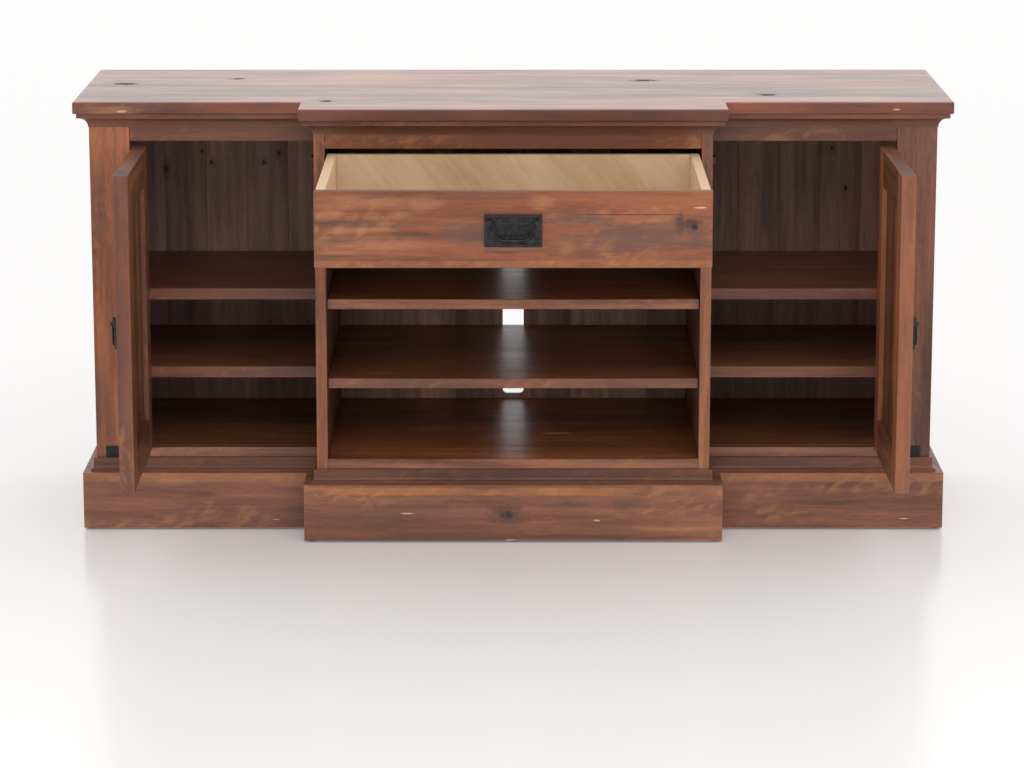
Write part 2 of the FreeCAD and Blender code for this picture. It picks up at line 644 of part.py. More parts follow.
def door(hand, side):
    """A framed door in its closed place about its hinge axis, then turned open with everything on it."""
    gap = "(door_side_gap / 2)"
    lead = "(knuckle_radius + knuckle_gap)"
    height = (DOOR_Z, DOOR_TOP_Z)
    front = (lead, "%s + door_thickness" % lead)

    def across(near, far):
        """A span counted from the hinge axis towards the free edge, which lies towards the middle."""
        return both_ways(-side, near, far)

    def opened(name, *pieces):
        group = keep(name, *pieces)
        place(group, "%d * (%s - door_side_gap / 2)" % (side, OPENING_X), "-(%s + %s)" % (SIDE_FACE, lead))
        group.Placement.Rotation = FreeCAD.Rotation(FreeCAD.Vector(0, 0, 1), side)
        group.setExpression("Placement.Rotation.Angle", linked("%d * %s_door_angle" % (side, hand)))
        return group

    far = "(%s + %s)" % (gap, DOOR_WIDTH)
    stiles = [board("%s_hinge_stile" % hand, across(gap, "%s + door_stile" % gap), front, height),
              board("%s_free_stile" % hand, across("%s - door_stile" % far, far), front, height)]
    opened(hand + "_door_stiles", *stiles)
    between = across("%s + door_stile" % gap, "%s - door_stile" % far)
    rails = [board("%s_foot_rail" % hand, between, front, (DOOR_Z, "%s + door_rail" % DOOR_Z)),
             board("%s_head_rail" % hand, between, front, ("%s - door_rail" % DOOR_TOP_Z, DOOR_TOP_Z))]
    opened(hand + "_door_rails", *rails)
    panel = board("%s_panel_board" % hand, between,
                  ("%s + door_panel_recess" % lead, "%s + door_panel_recess + door_panel" % lead),
                  ("%s + door_rail" % DOOR_Z, "%s - door_rail" % DOOR_TOP_Z))
    opened(hand + "_door_panel", panel)

    frame_leaves, door_leaves = [], []
    centres = {"foot": "(%s + hinge_inset)" % DOOR_Z, "head": "(%s - hinge_inset)" % DOOR_TOP_Z}
    for level, centre in centres.items():
        frame_leaves.append(frame_leaf("%s_%s_hinge" % (hand, level), side, centre))
        door_leaves.append(door_leaf("%s_%s_hinge" % (hand, level), across, centre))
    opened(hand + "_door_hinge_leaves", *door_leaves)

    plate, swung = pull(hand + "_pull", "pull_width", "pull_height", "pull_bail_width", "pull_bail_drop",
                        "pull_bail_corner")
    for name, piece in (("plate", plate), ("bail", swung)):
        hung = bundle("%s_pull_%s_on_door" % (hand, name), [piece])
        place(hung, "%d * (%s - door_stile / 2)" % (-side, far), lead,
              "(%s + %s) / 2 + pull_lift + %s" % (DOOR_Z, DOOR_TOP_Z, pull_drop("pull_bail_drop")))
        opened("%s_pull_%s" % (hand, name), hung)
    return frame_leaves


def frame_leaf(name, side, centre):
    """A hinge's leaf on the pilaster's edge, with the outer two knuckles and the pin, where it stands."""
    x = "%d * (%s - door_side_gap / 2)" % (side, OPENING_X)
    y = "-(%s + knuckle_radius + knuckle_gap)" % SIDE_FACE
    foot = "%s - hinge_length / 2" % centre
    third = "(hinge_length / 3)"
    low, high = "(%s - %s / 2 - hinge_play)" % (centre, third), "(%s + %s / 2 + hinge_play)" % (centre, third)
    leaf = block(name + "_frame_leaf", both_ways(side, "%s - hinge_leaf" % OPENING_X, OPENING_X),
                 (y, "-(%s - hinge_leaf_width)" % SIDE_FACE), (foot, "%s + hinge_length" % foot))
    notch = block(name + "_notch",
                  both_ways(side, "%s - hinge_leaf - overrun" % OPENING_X, "%s + overrun" % OPENING_X),
                  ("%s - overrun" % y, "-(%s - hinge_play)" % SIDE_FACE), (low, high))
    iron = [cut(name + "_frame_leaf_notched", leaf, notch),
            rod(name + "_low_knuckle", "knuckle_radius", "%s - hinge_play" % third, x, y, foot),
            rod(name + "_high_knuckle", "knuckle_radius", "%s - hinge_play" % third, x, y, high),
            rod(name + "_pin", "hinge_pin_radius", "hinge_length", x, y, foot)]
    return fused(name + "_frame_iron", iron)


def door_leaf(name, across, centre):
    """A hinge's leaf on the door's edge with the middle knuckle, about the hinge's axis."""
    span = ("%s - hinge_length / 6" % centre, "%s + hinge_length / 6" % centre)
    leaf = block(name + "_door_leaf", across("door_side_gap / 2 - hinge_leaf", "door_side_gap / 2"),
                 ("0", "knuckle_radius + knuckle_gap + hinge_leaf_width"), span)
    knuckle = rod(name + "_door_knuckle", "knuckle_radius", "hinge_length / 3", z=span[0])
    bore = rod(name + "_door_bore", "hinge_pin_radius + hinge_play", "hinge_length",
               z="%s - hinge_length / 2" % centre)
    return cut(name + "_door_iron", fused(name + "_door_solid", [leaf, knuckle]), bore)


def doors_and_hinges():
    """Both doors, the hinge leaves on the pilasters, and the catches on the partitions."""
    leaves = []
    catches = []
    for hand, side in SIDES:
        leaves += door(hand, side)
        catches.append(board("catch_" + hand, both_ways(side, PARTITION_X, "%s + catch_width" % PARTITION_X),
                             ("-(%s - door_thickness - hinge_play)" % SIDE_FACE,
                              "-(%s - door_thickness - hinge_play - catch_depth)" % SIDE_FACE),
                             ("%s - catch_drop - catch_height" % DOOR_TOP_Z, "%s - catch_drop" % DOOR_TOP_Z)))
    keep("hinge_frame_leaves", *leaves)
    keep("door_catches", *catches)


def drawer():
    """The drawer, pulled out by its travel, with its box, runners and pull."""
    out = "(%s + %s)" % (CENTRE_FACE, DRAWER_TRAVEL)
    behind_front = "(%s - drawer_front_thickness)" % out
    rear = "(%s - drawer_box_length)" % behind_front
    front_z = ("(%s + drawer_foot_gap)" % DIVIDER_Z, DRAWER_TOP_Z)
    front_x = "(%s - drawer_front_gap)" % BAY_X
    box_x = "(%s - drawer_box_gap)" % BAY_X
    inside_x = "(%s - drawer_side_thickness)" % box_x
    box_z = ("%s + drawer_side_lift" % DIVIDER_Z, "%s - drawer_side_drop" % DRAWER_TOP_Z)
    bottom_z = ("%s + drawer_bottom_lift" % DIVIDER_Z,
                "%s + drawer_bottom_lift + drawer_bottom_thickness" % DIVIDER_Z)
    pull_z = "(%s + %s) / 2 - handle_lower + %s" % (*front_z, pull_drop("handle_bail_drop"))

    front = board("drawer_front_board", ("-" + front_x, front_x), ("-" + out, "-" + behind_front), front_z,
                  "drawer_front_rounding")
    pocket = bundle("drawer_front_pocket", [cup_bar("cup_pocket", "(cup_wall + bail_play)",
                                                    ("-overrun", "cup_depth + bail_play"))])
    place(pocket, "0", "-" + out, pull_z)
    keep("drawer_front", cut("drawer_front_cut", front, pocket))
    sides = [board("drawer_side_" + hand, both_ways(side, inside_x, box_x),
                   ("-" + behind_front, "-" + rear), box_z) for hand, side in SIDES]
    keep("drawer_sides", *sides)
    keep("drawer_back", board("drawer_back_board", ("-" + inside_x, inside_x),
                              ("-(%s + drawer_back_thickness)" % rear, "-" + rear), (bottom_z[0], box_z[1])))
    keep("drawer_bottom", block("drawer_bottom_sheet", ("-" + inside_x, inside_x),
                                ("-" + behind_front, "-(%s + drawer_back_thickness)" % rear), bottom_z))
    runners("(%s - runner_inset)" % inside_x)

    plate, swung = pull("handle", "handle_width", "handle_height", "handle_bail_width", "handle_bail_drop",
                        "handle_bail_corner", cup=True)
    for name, piece in (("handle_plate", plate), ("handle_bail", swung)):
        place(keep(name, piece), "0", "-" + out, pull_z)


def channel(name, x, y, low, high, opens_up):
    """A runner member of folded steel, a shallow channel that opens upwards or downwards."""
    outside = block(name + "_outside", x, y, (low, high))
    hollow_z = ("%s + runner_wall" % low, "%s + overrun" % high)
    if not opens_up:
        hollow_z = ("%s - overrun" % low, "%s - runner_wall" % high)
    hollow = block(name + "_hollow", ("%s + runner_wall" % x[0], "%s - runner_wall" % x[1]),
                   ("%s - overrun" % y[0], "%s + overrun" % y[1]), hollow_z)
    return cut(name, outside, hollow)


def runners(outer):
    """Full-extension runners under the drawer, each of three members one over the other.

    The lowest lies on the divider, the top one carries the drawer's bottom, and the middle one goes half
    as far.
    """
    start = "(%s - drawer_front_thickness - runner_inset)" % CENTRE_FACE
    under = "(%s + drawer_bottom_lift)" % DIVIDER_Z
    x = ("(%s - runner_width)" % outer, outer)
    inner_x = ("%s + runner_wall + runner_play" % x[0], "%s - runner_wall - runner_play" % x[1])
    inner_z = ("%s + runner_wall + runner_play" % DIVIDER_Z, "%s - runner_wall - runner_play" % under)
    members = {"runner_fixed": [], "runner_middle": [], "runner_drawer": []}
    fronts = ["(%s + %s * %s)" % (start, share, DRAWER_TRAVEL) for share in RUNNER_SHARES]
    fixed_y, middle_y, drawer_y = [("-" + front, "-(%s - %s)" % (front, RUNNER_LENGTH)) for front in fronts]
    for hand, side in SIDES:
        across = both_ways(side, *x)
        members["runner_fixed"].append(channel("runner_fixed_" + hand, across, fixed_y, DIVIDER_Z,
                                               "(%s + runner_height)" % DIVIDER_Z, True))
        members["runner_middle"].append(board("runner_middle_" + hand, both_ways(side, *inner_x), middle_y,
                                              inner_z))
        members["runner_drawer"].append(channel("runner_drawer_" + hand, across, drawer_y,
                                                "(%s - runner_height)" % under, under, False))
    for name, pieces in members.items():
        keep(name, *pieces)


def build():
    """Every sub-part in turn, checked before anything is written."""
    top_panel()
    cornice_plinth_and_cap()
    upright_panels()
    rails_and_bottoms()
    back_panels()
    glides()
    foot_plates()
    doors_and_hinges()
    drawer()
    doc.recompute()
    for item in doc.Objects:
        if "Invalid" in item.State or "Error" in item.State:
            raise RuntimeError("%s did not come out: %s" % (item.Label, item.State))
    for item in nodes:
        if item.Shape.isNull() or not item.Shape.isValid() or not item.Shape.Solids:
            raise RuntimeError("%s has no valid solid" % item.Label)


build()
os.makedirs("parts", exist_ok=True)
for item in nodes:
    item.Shape.exportStep("parts/%s.step" % item.Label)
print(len(nodes), "nodes,", sum(len(item.Shape.Solids) for item in nodes), "solids")
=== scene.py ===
# %% [markdown]
# # A breakfront media cabinet in rustic hardwood
# The cabinet's shape was drawn as solids and packed, so this lesson starts from finished boards.
# What is left to make is what the eye reads first: the timber and its wax, the blackened iron, the pale
# drawer box, every small screw, and a quiet studio round it all.

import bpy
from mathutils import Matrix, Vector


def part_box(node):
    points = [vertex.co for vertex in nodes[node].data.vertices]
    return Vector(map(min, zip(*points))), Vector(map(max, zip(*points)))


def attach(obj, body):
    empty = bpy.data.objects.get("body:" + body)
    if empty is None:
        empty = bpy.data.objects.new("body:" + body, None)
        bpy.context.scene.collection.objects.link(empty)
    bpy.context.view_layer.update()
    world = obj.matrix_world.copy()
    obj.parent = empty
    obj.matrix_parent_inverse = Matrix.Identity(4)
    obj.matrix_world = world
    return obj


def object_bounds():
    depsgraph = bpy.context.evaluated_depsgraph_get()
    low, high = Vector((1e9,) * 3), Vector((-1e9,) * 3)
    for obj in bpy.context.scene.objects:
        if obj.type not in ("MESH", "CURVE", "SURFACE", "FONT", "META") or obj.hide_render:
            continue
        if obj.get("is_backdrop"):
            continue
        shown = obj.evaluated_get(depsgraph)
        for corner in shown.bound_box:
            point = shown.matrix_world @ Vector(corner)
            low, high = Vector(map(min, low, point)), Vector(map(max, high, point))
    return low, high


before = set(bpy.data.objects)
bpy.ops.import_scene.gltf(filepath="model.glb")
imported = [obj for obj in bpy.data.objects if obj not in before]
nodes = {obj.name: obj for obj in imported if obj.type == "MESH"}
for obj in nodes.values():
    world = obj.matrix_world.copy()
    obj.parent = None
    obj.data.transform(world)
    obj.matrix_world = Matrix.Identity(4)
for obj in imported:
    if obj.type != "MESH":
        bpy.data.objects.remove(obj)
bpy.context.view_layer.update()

# %% [markdown]
# ## The camera
# A long lens seen from slightly above keeps a wide cabinet calm: its uprights stay nearly upright. The
# numbers come from a fit of the cabinet's corners to the picture, so they are kept in pixels where they were
# found. A small shift of the frame leaves room below for the floor, as the picture does.

# %% Set up the camera
import math
import bpy

PICTURE = (1024, 768)
FOCAL_PIXELS = 3431.8
LENS_AXIS = (513.2, 305.0)
SENSOR_MM = 36.0
TIPPED_DOWN = math.radians(11.626)
CAMERA_PLACE = (0.0, -7.5581, 1.9399)

lens = bpy.data.cameras.new("view_camera")
lens.sensor_width = SENSOR_MM
lens.lens = FOCAL_PIXELS * SENSOR_MM / PICTURE[0]
lens.shift_x = (PICTURE[0] / 2 - LENS_AXIS[0]) / PICTURE[0]
lens.shift_y = (LENS_AXIS[1] - PICTURE[1] / 2) / PICTURE[0]
camera = bpy.data.objects.new("view_camera", lens)
camera.location = CAMERA_PLACE
camera.rotation_euler = (math.pi / 2 - TIPPED_DOWN, 0.0, 0.0)
bpy.context.collection.objects.link(camera)
bpy.context.scene.camera = camera
print("lens", round(lens.lens, 1), "mm, shift", round(lens.shift_x, 4), round(lens.shift_y, 4))

# %% [markdown]
# ## Nodes without clutter
# A procedural material is a small tree of nodes. One helper is enough for all of them: it adds a node,
# applies its settings, fills its inputs with plain values or with other nodes' outputs, and hands back
# the output that comes next in the chain. Colours are written as the hex values a paint chart would give,
# and one function turns them into the linear numbers that light works in.

# %% Colours as light


def linear(chart_hex):
    """A paint chart's hex value as linear red, green, blue and a full alpha."""
    shares = [int(chart_hex[i:i + 2], 16) / 255 for i in (0, 2, 4)]
    return [s / 12.92 if s <= 0.04045 else ((s + 0.055) / 1.055) ** 2.4 for s in shares] + [1.0]


print("mid red-brown in light:", [round(v, 3) for v in linear("8C5436")[:3]])

# %% One node at a time
TIMES = {"operation": "MULTIPLY"}
TIMES_PLUS = {"operation": "MULTIPLY_ADD"}
PARTED = {"operation": "DIVIDE"}
PLUS = {"operation": "ADD"}
MINUS = {"operation": "SUBTRACT"}
LARGER = {"operation": "MAXIMUM"}
OVER = {"operation": "GREATER_THAN"}
UNSIGNED = {"operation": "ABSOLUTE"}
SCALED = {"operation": "SCALE"}
AGREEMENT = {"operation": "DOT_PRODUCT"}
SOFT = {"interpolation_type": "SMOOTHSTEP"}
COLOURS = {"data_type": "RGBA"}


def add(tree, kind, settings=None, inputs=None, out=0, stops=()):
    """One node with its settings and links. It returns the output numbered or named by out.

    stops are a colour ramp's places and shades, from its low end up.
    """
    node = tree.nodes.new("ShaderNode" + kind)
    for name, value in (settings or {}).items():
        setattr(node, name, value)
    for name, value in (inputs or {}).items():
        if isinstance(value, bpy.types.NodeSocket):
            tree.links.new(value, node.inputs[name])
        else:
            node.inputs[name].default_value = value
    for number, (place, shade) in enumerate(stops):
        band = node.color_ramp.elements
        element = band[number] if number < len(band) else band.new(place)
        element.position = place
        element.color = linear(shade) if isinstance(shade, str) else shade
    return node.outputs[out]


def finish_named(name):
    """A new material with its tree, its shader and its object coordinates."""
    material = bpy.data.materials.new(name)
    material.use_nodes = True
    tree = material.node_tree
    shader = tree.nodes["Principled BSDF"]
    return material, tree, shader, add(tree, "TexCoord", out="Object")


print("names for node operations are ready, from", TIMES["operation"], "to", AGREEMENT["operation"])

# %% [markdown]
# ## The studio
# The floor is plain, pale and slightly polished, so the plinth fades into it with a soft reflection.
# A white dome of light stands in for a tent of diffusion cloth: it lights a board about as brightly as its
# colour is written. One large lamp in front and above gives the edges a direction.

# %% Lay the floor
FLOOR_HALF = 40.0
FLOOR_LIFT = 0.13
WHITE = (1.0, 1.0, 1.0, 1.0)

floor_mesh = bpy.data.meshes.new("studio_floor")
corners = [(x * FLOOR_HALF, y * FLOOR_HALF, 0.0) for x, y in ((-1, -1), (1, -1), (1, 1), (-1, 1))]
floor_mesh.from_pydata(corners, [], [(0, 1, 2, 3)])
floor = bpy.data.objects.new("studio_floor", floor_mesh)
bpy.context.collection.objects.link(floor)
floor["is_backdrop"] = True

# satin floor paint, which the camera and reflections see a little whiter than it is
paint, tree, shader, place = finish_named("white_floor_paint")
shader.inputs["Base Color"].default_value = linear("F0EEED")
shader.inputs["Roughness"].default_value = 0.22
shader.inputs["IOR"].default_value = 1.35
rays = add(tree, "LightPath").node
seen = add(tree, "Math", LARGER, {0: rays.outputs["Is Camera Ray"], 1: rays.outputs["Is Glossy Ray"]})
lift = add(tree, "Math", TIMES, {0: seen, 1: FLOOR_LIFT})
shader.inputs["Emission Color"].default_value = WHITE
tree.links.new(lift, shader.inputs["Emission Strength"])
floor_mesh.materials.append(paint)
print("floor", 2 * FLOOR_HALF, "m wide")

# %% Hang the dome and the lamp
DOME_LEVEL = 0.88
LAMP_WATTS = 60.0

world = bpy.data.worlds.new("white_dome")
world.use_nodes = True
bpy.context.scene.world = world
dome = world.node_tree
rays = add(dome, "LightPath").node
seen = add(dome, "Math", LARGER, {0: rays.outputs["Is Camera Ray"], 1: rays.outputs["Is Glossy Ray"]})
seen = add(dome, "Math", LARGER, {0: seen, 1: rays.outputs["Is Transmission Ray"]})
level = add(dome, "MapRange", None, {"Value": seen, "To Min": DOME_LEVEL, "To Max": 1.0})
dome.nodes["Background"].inputs["Color"].default_value = WHITE
dome.links.new(level, dome.nodes["Background"].inputs["Strength"])

lamp = bpy.data.lights.new("front_softbox", "AREA")
lamp.shape = "RECTANGLE"
lamp.size, lamp.size_y = 4.0, 2.5
lamp.energy = LAMP_WATTS
softbox = bpy.data.objects.new("front_softbox", lamp)
softbox.location = (0.6, -4.6, 3.6)
softbox.rotation_euler = (math.radians(58), 0.0, math.radians(7))
bpy.context.collection.objects.link(softbox)
bpy.context.scene.view_settings.view_transform = "Standard"
print("dome", DOME_LEVEL, "softbox", LAMP_WATTS, "W")

# %% [markdown]
# ## The timber: reclaimed peroba, hand-planed and waxed
# Peroba is a dense rosy-brown hardwood. Old beams of it are sawn again for rustic furniture, so a board
# carries dark knots, hairline cracks, small pale chips, warm sapwood bands and bluish patches where iron once
# touched it. Wax gives a soft sheen: hardly any gloss when looked at squarely, and a pale veil when seen
# along the board, as on the top here.
# All of this is drawn from noise in the board's own coordinates, stretched along the grain. A picture of
# wood would stretch or repeat on the edges, while noise in three dimensions goes right through a board.
# The features that make this cabinet the one in the picture are placed one by one, as (kind, place, length,
# width), and the rest is left to chance with a fixed seed.

# %% How large the features of the grain are, and the shades of one log
TURN_TO_GRAIN = {"X": (0.0, 0.0, 0.0), "Y": (0.0, 0.0, -math.pi / 2), "Z": (0.0, math.pi / 2, 0.0)}
# how long each feature is with the grain and how wide across it, in mm. Real pores are a tenth as wide, and
# are drawn this coarse so that they show.
WANDER_MM = (700, 170)
WARPED_MM = 22
FIGURE_MM = (620, 95)
STREAK_MM = (330, 17)
PORE_MM = (26, 1.8)
PATCH_MM = (420, 46)
FLAME_MM = (84, 15)
CURL_MM = (300, 60)
SAPWOOD_MM = (170, 60)
DRAWN_OUT_MM = (70, 8)
RAGGED_MM = 12
SHADE_PLACES = ((0.16, -1.0), (0.34, -0.5), (0.5, 0.0), (0.66, 0.5), (0.84, 1.0))
DARKER_REACH, LIGHTER_REACH = (0.62, 0.64, 0.60), (0.62, 0.66, 0.50)


def per_metre(millimetres):
    """How many features of that size fit in a metre, which is what a noise scale says."""
    return 1000.0 / millimetres


def shades(middle, spread):
    """Five shades of one timber about its middle one: darker grain is browner, lighter grain more orange."""
    stops = []
    for place, step in SHADE_PLACES:
        reach = DARKER_REACH if step < 0 else LIGHTER_REACH
        colour = [value * (1 + spread * step * share) for value, share in zip(linear(middle), reach)]
        stops.append((place, colour + [1.0]))
    return stops


def stretched(tree, vector, size_mm, settings, coarse=1.0, out=0):
    """Noise whose features have that length with the grain and that width across it."""
    across = per_metre(size_mm[1] * coarse)
    vector = add(tree, "VectorMath", TIMES, {0: vector, 1: (per_metre(size_mm[0]), across, across)})
    return add(tree, "TexNoise", None, {"Vector": vector, "Scale": 1.0, **settings}, out=out)


def tint(tree, share, strength, colour, chart_hex):
    """The colour mixed towards a paint chart's hex, where share says so."""
    share = add(tree, "Math", TIMES, {0: share, 1: strength})
    return add(tree, "Mix", COLOURS, {0: share, 6: colour, 7: linear(chart_hex)}, out=2)


print("pores in a metre of width:", round(per_metre(PORE_MM[1])))

# %% Where the boards of one panel lie, and which way each one's grain goes
SEED_STEPS = (3.7, 1.9, 2.3)
BOARD_SEED_STEP = 7.3
SIDEWAYS = 0.7


def grain_place(tree, place, along, mitred, seed):
    """Coordinates whose first axis follows the grain, moved to the seed's own place in the log."""
    turned = add(tree, "Mapping", None, {"Vector": place, "Rotation": TURN_TO_GRAIN[along]})
    if mitred:
        # the lengths of a mitred moulding that run to the wall have their grain towards the wall
        facing = add(tree, "SeparateXYZ", None, {0: add(tree, "TexCoord", out="Normal")}, out="X")
        sideways = add(tree, "Math", OVER, {0: add(tree, "Math", UNSIGNED, {0: facing}), 1: SIDEWAYS})
        other = add(tree, "Mapping", None, {"Vector": place, "Rotation": TURN_TO_GRAIN["Y"]})
        turned = add(tree, "Mix", {"data_type": "VECTOR"}, {0: sideways, 4: turned, 5: other}, out=1)
    return add(tree, "VectorMath", PLUS, {0: turned, 1: [seed * step for step in SEED_STEPS]})


def board_draw(tree, place, boards, seed):
    """For boards side by side: a random draw for each one, and how far across its board a point lies."""
    axis, start, width = boards
    spot = add(tree, "SeparateXYZ", None, {0: place}, out=axis)
    number = add(tree, "Math", MINUS, {0: spot, 1: start})
    number = add(tree, "Math", PARTED, {0: number, 1: width})
    across = add(tree, "Math", {"operation": "FRACT"}, {0: number})
    number = add(tree, "Math", {"operation": "FLOOR"}, {0: number})
    number = add(tree, "Math", PLUS, {0: number, 1: seed * BOARD_SEED_STEP})
    drawn = add(tree, "TexWhiteNoise", {"noise_dimensions": "1D"}, {"W": number}).node
    from_middle = add(tree, "Math", UNSIGNED, {0: add(tree, "Math", MINUS, {0: across, 1: 0.5})})
    return drawn.outputs["Color"], drawn.outputs["Value"], add(tree, "Math", TIMES, {0: from_middle, 1: 2.0})


def wandering(tree, turned):
    """The same coordinates with grain lines that wander slowly, as they do in a tree."""
    reach = WARPED_MM / 1000
    wander = stretched(tree, turned, WANDER_MM, {"Detail": 1.5}, out="Color")
    wander = add(tree, "VectorMath", MINUS, {0: wander, 1: (0.5, 0.5, 0.5)})
    wander = add(tree, "VectorMath", TIMES, {0: wander, 1: (0.0, reach, reach)})
    return add(tree, "VectorMath", PLUS, {0: turned, 1: wander})


print("grain lines wander by up to", WARPED_MM / 2, "mm")

# %% [markdown]
# ## Marks that a board can carry
# A mark is a blurred blob round its place, counted in half sizes: 0 at its middle and 1 at its rim. Noise
# pushes the rim in and out, so no two knots have one outline. Hard marks such as a knot get a ragged rim, and
# soft ones such as a stain run out along the grain. Knots also bend the grain round them and darken it.

# %% The kinds of marks
# each kind's shade, the distances at which it starts and is full, and its strength
MARKS = {
    "knot": ("2A1811", 0.75, 0.15, 0.95),
    "stain": ("594642", 1.5, 0.1, 0.65),
    "chip": ("DDB08F", 1.0, 0.55, 0.9),
    "crack": ("2B1811", 1.0, 0.3, 0.8),
    "streak": ("4E3024", 1.4, 0.1, 0.65),
    "glow": ("C98C5C", 1.5, 0.1, 0.34),
    # a painted highlight: a light strip where an edge would catch the light
    "painted_highlight": ("9C7560", 1.15, 0.75, 0.6),
    "bark": ("3D271C", 1.25, 0.45, 0.8),
}
HARD_WOBBLE = {"knot": 1.3, "bark": 1.6, "chip": 0.25, "crack": 0.25, "painted_highlight": 0.2}
SOFT_WOBBLE = 2.6
KNOT_HALO = (2.6, 0.3)
# marks left to chance: the size of their cells in mm, how seldom a cell has one, and its size in the cell
CHANCE_MARKS = (("knot", (260, 90), 0.93, 0.10), ("crack", (420, 16), 0.975, 0.10),
                ("chip", (190, 34), 0.985, 0.075))
CHANCE_HALO = (0.34, 0.02)
CHANCE_WOBBLE = 0.06
CHANCE_CORE = 0.4


def keep(tree, masks, kind, value, low_high, chosen=None):
    """Add one more mark to the mask of its kind: full where value has come from low to high."""
    mask = add(tree, "MapRange", SOFT, {"Value": value, "From Min": low_high[0], "From Max": low_high[1]})
    if chosen:
        mask = add(tree, "Math", TIMES, {0: mask, 1: chosen})
    masks[kind] = add(tree, "Math", LARGER, {0: masks[kind], 1: mask}) if kind in masks else mask


def placed_marks(tree, masks, place, along, marks, ragged, drawn_out):
    """The listed marks, each an ellipsoid that is long with the grain."""
    for kind, spot, length, width in marks:
        sizes = {"X": (length, width, width), "Y": (width, length, width), "Z": (width, width, length)}[along]
        far = add(tree, "VectorMath", MINUS, {0: place, 1: spot})
        far = add(tree, "VectorMath", PARTED, {0: far, 1: [size / 2 for size in sizes]})
        far = add(tree, "VectorMath", {"operation": "LENGTH"}, {0: far}, out="Value")
        rim, reach = (ragged, HARD_WOBBLE[kind]) if kind in HARD_WOBBLE else (drawn_out, SOFT_WOBBLE)
        far = add(tree, "Math", TIMES_PLUS, {0: rim, 1: reach, 2: far})
        keep(tree, masks, kind, far, MARKS[kind][1:3])
        if kind == "knot":
            keep(tree, masks, "halo", far, KNOT_HALO)


def chance_marks(tree, masks, warped, ragged):
    """Small knots, hairline cracks and chips at random: single long cells of a stretched cell pattern."""
    for kind, cell, chance, size in CHANCE_MARKS:
        across = per_metre(cell[1])
        cells = add(tree, "VectorMath", TIMES, {0: warped, 1: (per_metre(cell[0]), across, across)})
        cells = add(tree, "TexVoronoi", None, {"Vector": cells, "Scale": 1.0}).node
        drawn = add(tree, "SeparateColor", None, {0: cells.outputs["Color"]})
        chosen = add(tree, "Math", OVER, {0: drawn, 1: chance})
        far = add(tree, "Math", TIMES_PLUS, {0: ragged, 1: CHANCE_WOBBLE, 2: cells.outputs["Distance"]})
        keep(tree, masks, kind, far, (size, size * CHANCE_CORE), chosen)
        if kind == "knot":
            keep(tree, masks, "halo", far, CHANCE_HALO, chosen)


def mark_masks(tree, place, turned, warped, along, marks):
    """How fully each kind of mark covers a point, from 0 to 1, and the halo round its knots."""
    ragged = add(tree, "TexNoise", None, {"Vector": turned, "Scale": per_metre(RAGGED_MM), "Detail": 2.0})
    ragged = add(tree, "Math", MINUS, {0: ragged, 1: 0.5})
    drawn_out = stretched(tree, warped, DRAWN_OUT_MM, {"Detail": 3.0})
    drawn_out = add(tree, "Math", MINUS, {0: drawn_out, 1: 0.5})
    masks = {}
    placed_marks(tree, masks, place, along, marks, ragged, drawn_out)
    chance_marks(tree, masks, warped, ragged)
    halo = masks.pop("halo")
    return masks, halo


print("kinds of marks:", ", ".join(MARKS))

# %% [markdown]
# ## From tone to finished wood
# One number, the tone, says how dark the grain is at a point: broad figure, narrow streaks and fine pores
# added up. A ramp turns it into the timber's shades. Weathering, sapwood, flames, marks and wear are then
# mixed over it in the order in which they came to the wood, with painted shade on cupped planks and painted
# highlights on edges and under the drawer pull, and the wax lies over everything.

# %% The tone of the grain
FIGURE_SHARE, STREAK_SHARE, PORE_SHARE, BOARD_SHARE = 0.75, 0.75, 0.24, 0.26


def grain_tone(tree, grain, coarse):
    """The tone at a point, and the streaks and pores that it is made of."""
    figure = stretched(tree, grain, FIGURE_MM, {"Detail": 2.0}, coarse)
    streak = stretched(tree, grain, STREAK_MM, {"Detail": 4.0, "Roughness": 0.6}, coarse)
    pore = stretched(tree, grain, PORE_MM, {"Detail": 2.0})
    tone = add(tree, "Math", TIMES_PLUS, {0: figure, 1: FIGURE_SHARE, 2: -FIGURE_SHARE / 2})
    tone = add(tree, "Math", TIMES_PLUS, {0: streak, 1: STREAK_SHARE, 2: tone})
    return add(tree, "Math", TIMES_PLUS, {0: pore, 1: PORE_SHARE, 2: tone}), streak, pore


print("shares of figure, streaks and pores in the tone:", FIGURE_SHARE, STREAK_SHARE, PORE_SHARE)

# %% Weathering, sapwood and flames
WEATHERED, SAPWOOD, FLAME = "5C4744", "B87747", "C48A5A"
FLAME_LEAN = math.radians(22)
BAND_RIM = 0.004


